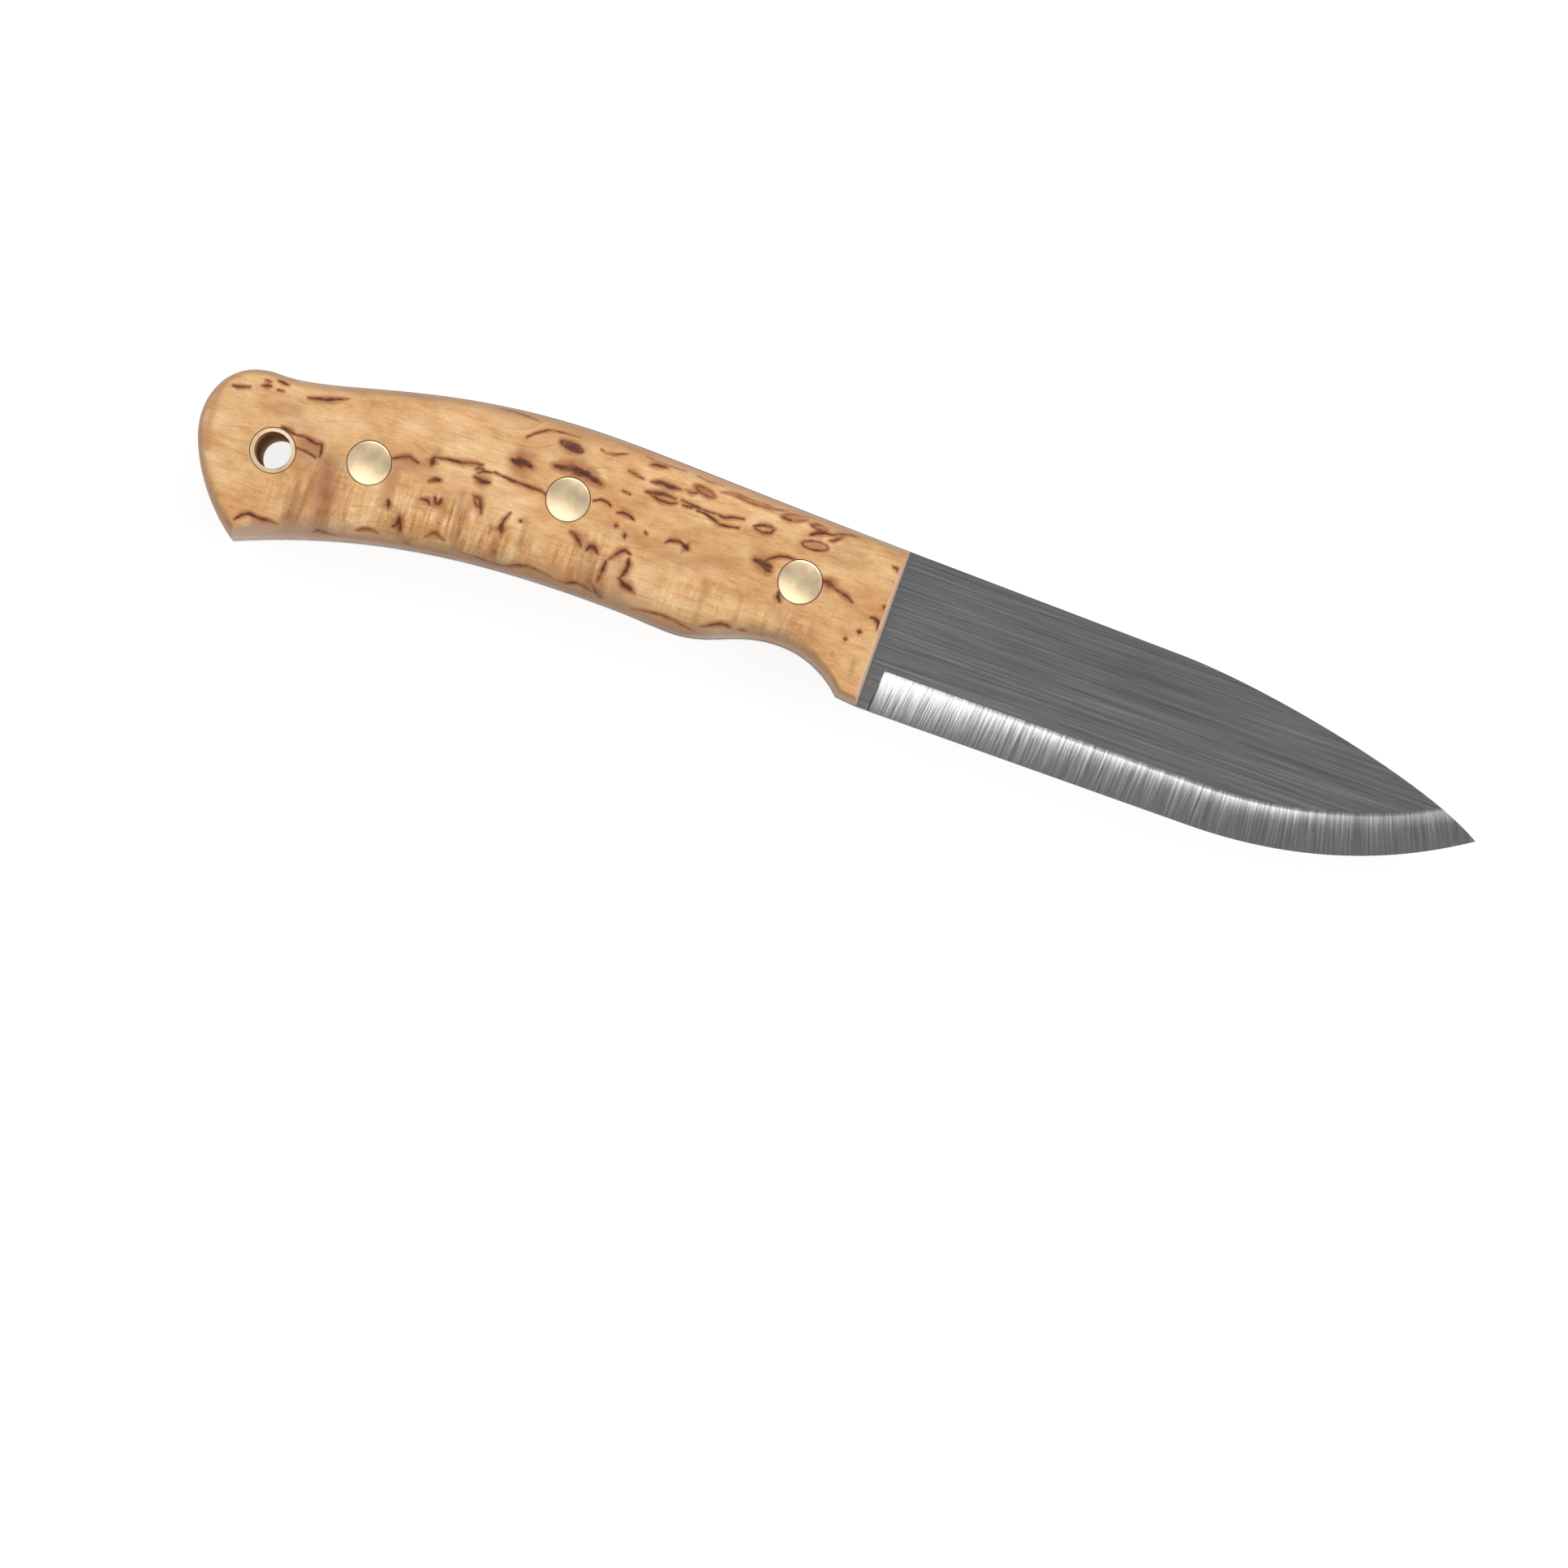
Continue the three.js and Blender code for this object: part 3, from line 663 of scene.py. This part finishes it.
# Eyes: centre, half length, half height, tilt in degrees, and the width of the ring.
EYES = [
    ((-55.6, 9.7), 1.9, 0.55, -6, 0.5),
    ((-33.6, 10.1), 1.8, 0.5, -12, 0.5),
    ((-18.9, 11.1), 2.0, 0.55, 16, 0.45),
    ((-14.7, 10.9), 1.3, 0.4, 2, 0.45),
    ((-14.5, 7.8), 2.1, 0.7, 8, 0.25),
]
# Soft brown marks as paths with a strength and a width: stains in the wood, and painted shade along the rims.
STAINS_AND_RIM_SHADE = [
    (0.8, 2.6, [(-90.6, -6), (-90, -9), (-89.6, -12), (-89.2, -16.5)]),
    (0.7, 2.4, [(-93.5, -12.5), (-93.2, -15), (-93.3, -18)]),
    (0.75, 1.8, [(-95.5, -4.2), (-93.4, -4.4)]),
    (0.5, 1.6, [(-95.8, -6), (-93.5, -6.6)]),
    (0.35, 1.2, [(-101, 0.4), (-98, 0.3)]),
    (0.3, 1.0, [(-98, -1.6), (-95, -1.6)]),
    (0.5, 1.1, [(-80.5, -3), (-80.3, -6), (-80.5, -9)]),
    (0.45, 1.4, [(-81, -1.9), (-78, -1.6), (-75.6, -1)]),
    (0.5, 0.9, [(-75.3, 2), (-75.4, 0), (-76.6, -1)]),
    (0.45, 0.9, [(-69.3, -3), (-69, -6), (-68.3, -9.5), (-67.6, -12)]),
    (0.4, 1.4, [(-67, -3.3), (-65.6, -5)]),
    (0.35, 1.6, [(-74.5, -6.2), (-72.6, -5.6)]),
    (0.45, 1.2, [(-78, -9), (-77.2, -12), (-75.4, -13.2)]),
    (0.4, 0.8, [(-62.3, -8), (-62, -10.5)]),
    (0.35, 0.7, [(-58.6, -3.5), (-58.3, -8)]),
    (0.4, 2.2, [(-56.5, 9.8), (-54, 9.6)]),
    (0.25, 2.4, [(-68, 11.6), (-62, 10), (-57, 10.8), (-54, 11.5)]),
    (0.6, 1.1, [(-98.5, -18.8), (-95.5, -17.6)]),
    (0.4, 0.9, [(-103, -19.4), (-99, -19.6)]),
    (0.5, 0.9, [(-49, -3), (-48.6, -6), (-47.6, -9.5)]),
    (0.65, 1.0, [(-47.2, -4.5), (-46.6, -7.5), (-46, -10)]),
    (0.55, 1.1, [(-44.6, -5.5), (-44.5, -8), (-43.8, -11)]),
    (0.35, 1.4, [(-42.8, -4.5), (-42.4, -7), (-41.2, -10)]),
    (0.4, 0.7, [(-28.7, -3.5), (-28.5, -6), (-28.3, -9.5)]),
    (0.4, 0.5, [(-22.8, -3.5), (-22.7, -8)]),
    (0.35, 1.2, [(-33.5, -2), (-31, -0.6), (-28, 0.6), (-25, 1.4)]),
    (0.3, 1.2, [(-43.5, -0.4), (-40, -1), (-37, -1.2), (-33, -1.2)]),
    (0.25, 1.2, [(-23, 3), (-22, 6)]),
    (0.35, 0.8, [(-10.3, 3), (-8, 2.4), (-6, 1), (-3, 0)]),
    (0.35, 1.6, [(-16.5, -4), (-14, -6), (-10, -6.4)]),
    (0.3, 1.2, [(-12.5, 7.3), (-9, 7.1), (-6.5, 7.6)]),
    (0.35, 0.8, [(-16.4, 9.2), (-16.8, 7.2)]),
    (0.4, 0.5, [(-2.6, -7.6), (-2.5, -9)]),
    (0.3, 0.4, [(-6.4, -7), (-6.2, -7.6)]),
    # From here on the paths follow the outline. Along the belly and round the butt they are painted shade on
    # the rounded rims, and along the back they make the rim browner.
    (0.55, 0.9, [(-59, -11.9), (-50, -11.6), (-40, -11.7), (-33, -12.2), (-28, -11.6), (-22, -9.4)]),
    (0.5, 1.1, [(-100, -20.6), (-94, -18.4), (-88, -16.4), (-80, -14.4), (-70, -12.7), (-59, -11.9)]),
    (0.75, 0.9, [(-112.5, 0), (-112.9, -4.5), (-112.4, -8.5), (-110.6, -12.9), (-107.6, -16.9),
                 (-104, -20.2)]),
    (0.4, 0.7, [(-110.4, 0.6), (-110.8, -2.5), (-110.6, -6), (-109.6, -9.5)]),
    (0.45, 0.5, [(-104, 5.4), (-98, 5.8), (-92, 7.2), (-86, 8.9), (-78, 11), (-70, 12.5),
                 (-60, 13.6), (-50, 13.8)]),
    (0.35, 0.5, [(-50, 13.8), (-40, 13.6), (-26, 13.0), (-12, 12.6), (-2, 12.4)]),
    (0.4, 0.55, [(-12.2, 9.4), (-11.2, 8.7), (-9.4, 8.9)]),
    (0.3, 0.6, [(-11, 10.3), (-9.2, 9.9), (-6.6, 10.4)]),
    (0.35, 0.5, [(-8.6, 7.9), (-7, 7.5), (-5.2, 8.3)]),
    (0.35, 0.9, [(-10, 9), (-7, 8.8)]),
]
# Curly grain, as soft ovals: the strength, the centre, half the length and half the height.
CURLS = [
    (0.9, (-90, -12), 7, 6),
    (0.8, (-80, -9), 9, 4.5),
    (0.9, (-66, -8), 9, 4),
    (0.8, (-47, -7), 5.5, 4.5),
    (0.35, (-33, -7), 6, 3.5),
    (0.6, (-15, -5.5), 5, 2.8),
    (0.3, (-25, -6), 5, 3.5),
]


FAR = -4.0  # the nearness of a place that is near no path
THINNEST = 0.12  # half the width of the finest fleck


def looped(centre, length, height, tilt, width):
    """The ring of an eye, as one fleck."""
    lean = math.radians(tilt)
    path = []
    for turn in np.linspace(0, 2 * math.pi, 13):
        x, y = length * math.cos(turn), height * math.sin(turn)
        sideways = x * math.cos(lean) - y * math.sin(lean)
        upwards = x * math.sin(lean) + y * math.cos(lean)
        path.append((centre[0] + sideways, centre[1] + upwards))
    return (width, path)


def near_paths(places, surface, paths, tapered):
    """For each place, the greatest nearness to any path: 1 on its line, 0 at its edge, less beyond."""
    best = np.full(len(places), FAR)
    for width, path in paths:
        lifted = np.array([surface(x, y) for x, y in path])
        reach = width * 3 + 0.5
        low_end, high_end = lifted.min(axis=0) - reach, lifted.max(axis=0) + reach
        close = np.nonzero(((places > low_end) & (places < high_end)).all(axis=1))[0]
        if not len(close):
            continue
        here = places[close]
        spans = len(lifted) - 1
        for k in range(spans):
            a, b = lifted[k], lifted[k + 1]
            side = b - a
            t = np.clip(((here - a) @ side) / (side @ side), 0, 1)
            distance = np.linalg.norm(here - a - t[:, None] * side, axis=1)
            taper = 0.45 + 0.55 * np.sin(math.pi * (k + t) / spans) if tapered else 1.0
            half_width = np.maximum(width / 2 * taper, THINNEST)
            best[close] = np.maximum(best[close], 1 - distance / half_width)
    return best


def paint_figure(piece, side, flecks, stains_and_rim_shade, curls):
    """Writes how near each point of the wood is to the flecks, to the brown marks and painted rim shade, and
    to the curly grain.
    """
    mesh = piece.data
    places = np.empty(len(mesh.vertices) * 3)
    mesh.vertices.foreach_get("co", places)
    places = places.reshape(-1, 3) / MM - np.array(ORIGIN)
    outside = np.abs(places[:, 2]) > STOCK / 2 + GLUE + 0.05
    skin = KDTree(int(outside.sum()))
    for i in np.nonzero(outside)[0]:
        skin.insert((places[i][0], places[i][1], 0), i)
    skin.balance()

    def surface(x, y):
        found = skin.find_n((x, y, 0), 4)
        return np.array((x, y, side * max(side * places[i][2] for _, i, _ in found)))

    nearness = near_paths(places, surface, flecks, True)
    # The brown marks: stains, and painted shade along the rims.
    browned = np.zeros(len(places))
    for strength, width, path in stains_and_rim_shade:
        closeness = near_paths(places, surface, [(width * 2, path)], False)
        browned = np.maximum(browned, strength * np.exp(-((1 - closeness) ** 2) * 1.2))
    curly = np.zeros(len(places))
    for strength, (x, y), length, height in curls:
        away = ((places[:, 0] - x) / length) ** 2 + ((places[:, 1] - y) / height) ** 2
        curly = np.maximum(curly, strength * np.exp(-(away**2) * 0.7))
    for name, values in (("fleck", nearness), ("stain_and_rim_shade", browned), ("curl", curly)):
        attribute = mesh.attributes.new(name, "FLOAT", "POINT")
        attribute.data.foreach_set("value", values.astype(np.float32))


def curly_birch():
    """Oiled curly birch, with its fibre along the slab."""
    n = Nodes("curly_birch")
    where = n.add("ShaderNodeTexCoord").outputs["Object"]
    mm = n.stretched(where, (1 / MM,) * 3)

    def painted(name):
        return n.add("ShaderNodeAttribute", {"attribute_name": name}).outputs["Fac"]

    clouds = n.noise(n.stretched(mm, (0.06, 0.13, 0.13), 0.1), detail=4)
    growth = n.noise(n.stretched(mm, (0.035, 0.9, 0.9), 0.16), detail=5, roughness=0.6)
    fibre = n.noise(n.stretched(mm, (0.45, 4.5, 4.5), 0.14), detail=5, roughness=0.7)
    grit = n.noise(n.stretched(mm, (3, 5, 5)), detail=3, roughness=0.7)
    hairs = n.noise(n.stretched(mm, (0.22, 3.2, 3.2), 0.12), detail=3, roughness=0.6)
    wander = n.noise(n.stretched(mm, (0.7, 1.1, 1.1)), detail=2, roughness=0.5)
    drift = n.noise(n.stretched(mm, (0.25, 0.4, 0.4)), detail=3)
    sway = n.noise(n.stretched(mm, (0.04, 0.08, 0.08)), detail=1)

    # Growth lines: thin and wavy, a couple of millimetres apart, and fading in and out.
    axes = n.add("ShaderNodeSeparateXYZ", Vector=n.stretched(mm, (1, 1, 1), -0.16)).outputs
    rings = n.maths("ADD", n.maths("MULTIPLY", axes[1], 0.42), n.maths("MULTIPLY", sway, 5))
    rings = n.maths("ABSOLUTE", n.maths("SUBTRACT", n.maths("FRACT", rings), 0.5))
    rings = n.maths("MULTIPLY", n.spread(rings, 0.0, 0.06, 1, 0, smooth=True), n.spread(clouds, 0.4, 0.62))

    tone = n.maths("ADD", n.spread(clouds, 0.3, 0.7, -0.5, 0.5), n.spread(growth, 0.3, 0.7, -0.25, 0.25))
    tone = n.maths("ADD", tone, n.spread(fibre, 0.3, 0.7, -0.38, 0.38))
    tone = n.maths("ADD", tone, n.spread(grit, 0.3, 0.7, -0.3, 0.3))
    tone = n.maths("ADD", tone, n.spread(drift, 0.3, 0.7, -0.4, 0.4))
    tone = n.maths("SUBTRACT", tone, n.maths("MULTIPLY", rings, 0.6))
    tone = n.maths("SUBTRACT", tone, n.spread(hairs, 0.58, 0.74, 0, 0.45))
    ripple = n.noise(n.stretched(mm, (0.85, 0.13, 0.2), 0.08), detail=5, roughness=0.62, distortion=0.5)
    curl = n.maths("MULTIPLY", painted("curl"), n.spread(drift, 0.35, 0.65, 0.3, 1.5))
    ripple = n.maths("MULTIPLY", n.spread(ripple, 0.36, 0.64, -1.2, 1.0), curl)
    tone = n.maths("ADD", tone, ripple)
    honey = n.blend(n.spread(tone, -1.3, 0), tint(168, 108, 60), tint(218, 172, 119))
    honey = n.blend(n.spread(tone, 0, 1.3), honey, tint(242, 210, 167))

    amber = n.noise(n.stretched(mm, (0.13, 0.24, 0.24), 0.2), detail=4, roughness=0.6)
    honey = n.blend(n.spread(amber, 0.48, 0.72, 0, 0.55), honey, tint(200, 134, 74))
    honey = n.blend(n.spread(amber, 0.45, 0.25, 0, 0.35), honey, tint(232, 188, 122))

    # Brown from the stains, and the painted shade along the rims.
    brown = n.maths("MULTIPLY", painted("stain_and_rim_shade"), n.spread(drift, 0.3, 0.65, 0.6, 1.2), clamp=True)
    stains_and_painted_light = n.blend(brown, honey, tint(150, 96, 62))
    # Painted shade: the rounded sides, which slope away from the face, are made browner and darker.
    facing = n.add("ShaderNodeSeparateXYZ", Vector=n.add("ShaderNodeNewGeometry").outputs["Normal"]).outputs
    painted_rim_shade = n.spread(n.maths("ABSOLUTE", facing[2]), 0.85, 0.25, 0, 0.65, smooth=True)
    stains_and_painted_light = n.blend(painted_rim_shade, stains_and_painted_light, tint(144, 98, 58))
    # Painted highlight: the faces that look forward, the front ends where the grain is cut across, are made
    # paler.
    painted_front_highlight = n.spread(facing[0], 0.1, 0.6, 0, 0.6, smooth=True)
    stains_and_painted_light = n.blend(painted_front_highlight, stains_and_painted_light, tint(236, 208, 184))

    depth = n.maths("ADD", painted("fleck"), n.spread(wander, 0.3, 0.7, -0.45, 0.45))
    depth = n.maths("ADD", depth, n.spread(grit, 0.3, 0.7, -0.12, 0.12))
    halo = n.spread(depth, -3.4, -0.1, 0, 0.85, smooth=True)
    edged = n.blend(halo, stains_and_painted_light, tint(164, 102, 60))
    core = n.blend(n.spread(depth, 0.2, 1.1), tint(112, 64, 42), tint(74, 40, 26))
    dark = n.maths("MULTIPLY", n.spread(depth, -0.5, 0.35, smooth=True), n.spread(drift, 0.3, 0.5, 0.6, 1))
    n.feed(n.surface, "Base Color", n.blend(dark, edged, core))

    n.feed(n.surface, "Roughness", n.spread(fibre, 0.3, 0.7, 0.4, 0.52))
    relief = n.maths("ADD", fibre, n.maths("MULTIPLY", grit, 0.5))
    relief = n.maths("SUBTRACT", relief, n.maths("MULTIPLY", dark, 0.4))
    n.feed(n.surface, "Normal", n.bumped(relief, 0.00002, 0.6))
    n.surface.inputs["Specular IOR Level"].default_value = 0.22
    return n.material


birch = curly_birch()
all_flecks = FLECKS + [looped(*eye) for eye in EYES]
# The wood inside an eye's ring is stained too.
all_stains_and_rim_shade = list(STAINS_AND_RIM_SHADE)
for (x, y), length, height, *_ in EYES:
    all_stains_and_rim_shade.append((0.85, height * 0.8, [(x - length / 2, y), (x + length / 2, y)]))

# The lower slab is another slice of the same plank, so its figure is like the upper one's but
# turned end for end, with each fleck shifted a little.
TURNED_ABOUT = -111
pick = random.Random(11)
turned_flecks = []
for width, path in all_flecks:
    slide_x, slide_y = pick.uniform(-4, 4), pick.uniform(-1.5, 1.5)
    turned_flecks.append((width, [(TURNED_ABOUT - x + slide_x, -y + slide_y) for x, y in path]))
turned_stains_and_rim_shade = [(s, w, [(TURNED_ABOUT - x, -1 - y) for x, y in path]) for s, w, path in all_stains_and_rim_shade]
turned_curls = [(s, (TURNED_ABOUT - x, -1 - y), a, b) for s, (x, y), a, b in CURLS]

for name, node, side, figure in (
    ("upper_birch_scale", "right_scale", 1, (all_flecks, all_stains_and_rim_shade, CURLS)),
    ("lower_birch_scale", "left_scale", -1, (turned_flecks, turned_stains_and_rim_shade, turned_curls)),
):
    scale = finish_mesh(scale_mesh(side), name, crease=35)
    paint_figure(scale, side, *figure)
    scale.data.materials.append(birch)
    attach(scale, "root")
    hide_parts(node)


# ---- The rivets ---------------------------------------------------------------------------
# Each rivet is two turned brass halves that screw together through the scales and the tang.
# The heads are sanded flush with the wood, which leaves them very slightly domed and brushed.

HEAD = 3.5  # radii
BARREL = 2.5
STUD = 1.55
THREAD_HOLE = 1.65
HEAD_DEPTH = 4.95
DOME_RADIUS = 24
RIM = 0.05  # how far the edge of a head is broken
STUD_END = -4  # heights from the bar's middle, up towards the piece's own head
STUD_CHAMFER = 0.3
HOLE_BOTTOM = 6
BARREL_END = -4.6
BARREL_CHAMFER = 0.2
SIDES = 96


def turned(name, profile, centre, flip=False):
    """A lathe-turned solid from pairs of radius and height, flipped if it goes in from below."""
    bm = bmesh.new()
    rings = []
    for radius, height in profile:
        z = -height if flip else height
        if radius == 0:
            rings.append([bm.verts.new((centre[0], centre[1], z))] * SIDES)
        else:
            rings.append([bm.verts.new((x, y, z)) for x, y in circle(centre, radius, SIDES)])
    for ring, above in zip(rings, rings[1:]):
        for i in range(SIDES):
            j = (i + 1) % SIDES
            corners = list(dict.fromkeys((ring[i], ring[j], above[j], above[i])))
            if len(corners) > 2:
                bm.faces.new(corners)
    return finish_mesh(bm, name, crease=25)


def domed_head(top):
    """The outline of a head from its broken rim to its middle."""
    shoulder = top - (HEAD - RIM) ** 2 / 2 / DOME_RADIUS
    outline = [(HEAD, shoulder - RIM), (HEAD - RIM * 0.3, shoulder - RIM * 0.3)]
    outline += [(r, top - r * r / 2 / DOME_RADIUS) for r in np.linspace(HEAD - RIM, 0, 14)]
    return outline


def brushed_brass(name, turn, colour, bright=True):
    """Brass as the abrasive left it, or gone dull and brown where nothing rubs it."""
    n = Nodes(name)
    where = n.add("ShaderNodeTexCoord").outputs["Object"]
    mm = n.stretched(where, (1 / MM,) * 3)
    strokes = n.noise(n.stretched(mm, (12, 0.7, 0.7), turn), detail=4, roughness=0.6)
    patches = n.noise(n.stretched(mm, (0.6, 0.35, 0.4), turn), detail=3)
    tone = n.maths("ADD", n.spread(strokes, 0.3, 0.7, -0.5, 0.5), n.spread(patches, 0.3, 0.7, -0.5, 0.5))
    darker = tint(*[c - 18 for c in colour])
    lighter = tint(*[c + 14 for c in colour])
    n.feed(n.surface, "Base Color", n.blend(n.spread(tone, -1, 1), darker, lighter))
    n.feed(n.surface, "Roughness", n.spread(tone, -1, 1, 0.27, 0.35) if bright else 0.8)
    n.feed(n.surface, "Normal", n.bumped(strokes, 0.000005))
    n.surface.inputs["Metallic"].default_value = float(bright)
    n.surface.inputs["Specular IOR Level"].default_value = 0.5 if bright else 0.1
    return n.material


FACE = SCALE_THICKNESS + STOCK / 2 + GLUE
SHOULDER = FACE - HEAD_DEPTH
BRASS = (238, 212, 174)
brass = brushed_brass("brushed_brass", 0.0, BRASS)
screw_outline = [
    (0, STUD_END),
    (STUD - STUD_CHAMFER, STUD_END),
    (STUD, STUD_END + STUD_CHAMFER),
    (STUD, SHOULDER),
    (HEAD, SHOULDER),
    *domed_head(FACE),
]
nut_outline = [
    (0, HOLE_BOTTOM),
    (THREAD_HOLE, HOLE_BOTTOM),
    (THREAD_HOLE, BARREL_END),
    (BARREL - BARREL_CHAMFER, BARREL_END),
    (BARREL, BARREL_END + BARREL_CHAMFER),
    (BARREL, SHOULDER),
    (HEAD, SHOULDER),
    *domed_head(FACE),
]
for where, place in RIVETS.items():
    screw = turned(f"{where}_rivet_screw_head", screw_outline, place)
    nut = turned(f"{where}_rivet_nut_head", nut_outline, place, flip=True)
    for piece, node in ((screw, f"{where}_rivet_screw"), (nut, f"{where}_rivet_nut")):
        piece.data.materials.append(brass)
        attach(piece, "root")
        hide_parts(node)


# ---- The lanyard tube ---------------------------------------------------------------------
# A length of brass tube glued through the butt for a cord. Its ends are trimmed flush and
# the lips are rounded inside.

TUBE_OUTER = 3.6
TUBE_INNER = 2.9
LIP = 0.12
BROKEN_EDGE = 0.05
TUBE_END = FACE - 0.05
DULL_BROWN = (182, 138, 82)

outer_wall = [(TUBE_OUTER, 0), (TUBE_OUTER, TUBE_END - BROKEN_EDGE), (TUBE_OUTER - BROKEN_EDGE, TUBE_END)]
lip = [
    (TUBE_INNER + LIP * (1 - math.sin(t)), TUBE_END - LIP * (1 - math.cos(t)))
    for t in np.linspace(0, math.pi / 2, 7)
]
upper_half = outer_wall + lip
profile = upper_half + [(r, -z) for r, z in reversed(upper_half)]
tube = turned("lanyard_tube_brass", [*profile, profile[0]], TUBE)
tube.data.materials.append(brushed_brass("turned_brass", 0.0, BRASS))
tube.data.materials.append(brushed_brass("dull_bore", math.pi / 2, DULL_BROWN, bright=False))
for face in tube.data.polygons:
    from_axis = ((face.center / MM - ORIGIN).xy - Vector(TUBE)).length
    face.material_index = int(from_axis < TUBE_INNER + 0.01)
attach(tube, "root")
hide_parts("lanyard_tube")


# ---- Where it lies ------------------------------------------------------------------------
# The knife lies on a white, faintly luminous table, in soft light from large diffusers behind
# and beside it and small ones in front, and is looked at from almost straight above.

bm = bmesh.new()
bmesh.ops.create_circle(bm, cap_ends=True, segments=64, radius=4)
table_mesh = bpy.data.meshes.new("table")
bm.to_mesh(table_mesh)
bm.free()
table = bpy.data.objects.new("table", table_mesh)
bpy.context.scene.collection.objects.link(table)
white = Nodes("white_table")
clouds = white.noise(white.add("ShaderNodeTexCoord").outputs["Object"], scale=3)
greys = white.blend(white.spread(clouds, 0.3, 0.7), (0.2, 0.2, 0.2, 1), (0.22, 0.22, 0.22, 1))
white.feed(white.surface, "Base Color", greys)
white.surface.inputs["Roughness"].default_value = 0.9
white.surface.inputs["Emission Color"].default_value = (1, 1, 1, 1)
white.surface.inputs["Emission Strength"].default_value = 0.85
white.surface.inputs["Specular IOR Level"].default_value = 0.1
table_mesh.materials.append(white.material)


def diffuser(name, place, size, power, turn=0):
    """A flat rectangle of light that faces the knife, its first side turned from X by some degrees."""
    light = bpy.data.lights.new(name, "AREA")
    light.shape = "RECTANGLE"
    light.size, light.size_y = size
    light.energy = power
    lamp = bpy.data.objects.new(name, light)
    lamp.location = place
    away = Vector(place).normalized()
    across = Vector((math.cos(math.radians(turn)), math.sin(math.radians(turn)), 0))
    across = (across - away * across.dot(away)).normalized()
    lamp.rotation_euler = Matrix((across, away.cross(across), away)).transposed().to_euler()
    lamp.visible_camera = False
    bpy.context.scene.collection.objects.link(lamp)


diffuser("back_diffuser", (0.2, 0.9, 1.2), (1.6, 0.7), 12.3)
diffuser("front_strip", (-0.207, -0.301, 1.25), (0.6, 0.5), 2.1, turn=-22)
diffuser("middle_strip", (0.18, -0.27, 1.25), (0.22, 0.22), 0.44)
diffuser("tip_strip", (0.43, -0.26, 1.25), (0.3, 0.22), 0.13)
diffuser("left_diffuser", (-1.3, 0.0, 1.1), (0.8, 1.2), 7.6)
diffuser("right_diffuser", (1.3, 0.1, 1.1), (0.8, 1.2), 9.4)

world = bpy.data.worlds.new("room")
world.use_nodes = True
background = world.node_tree.nodes["Background"]
background.inputs["Color"].default_value = (0.24, 0.24, 0.242, 1)
background.inputs["Strength"].default_value = 1.0
bpy.context.scene.world = world
bpy.context.scene.view_settings.view_transform = "Standard"

camera_data = bpy.data.cameras.new("camera")
camera_data.sensor_width = 36
camera_data.lens = 136.15
camera = bpy.data.objects.new("camera", camera_data)
camera.location = (-0.00635, -0.04698, 0.950)
camera.rotation_euler = (0.0199, -0.0142, 0.3412)
bpy.context.scene.collection.objects.link(camera)
bpy.context.scene.camera = camera
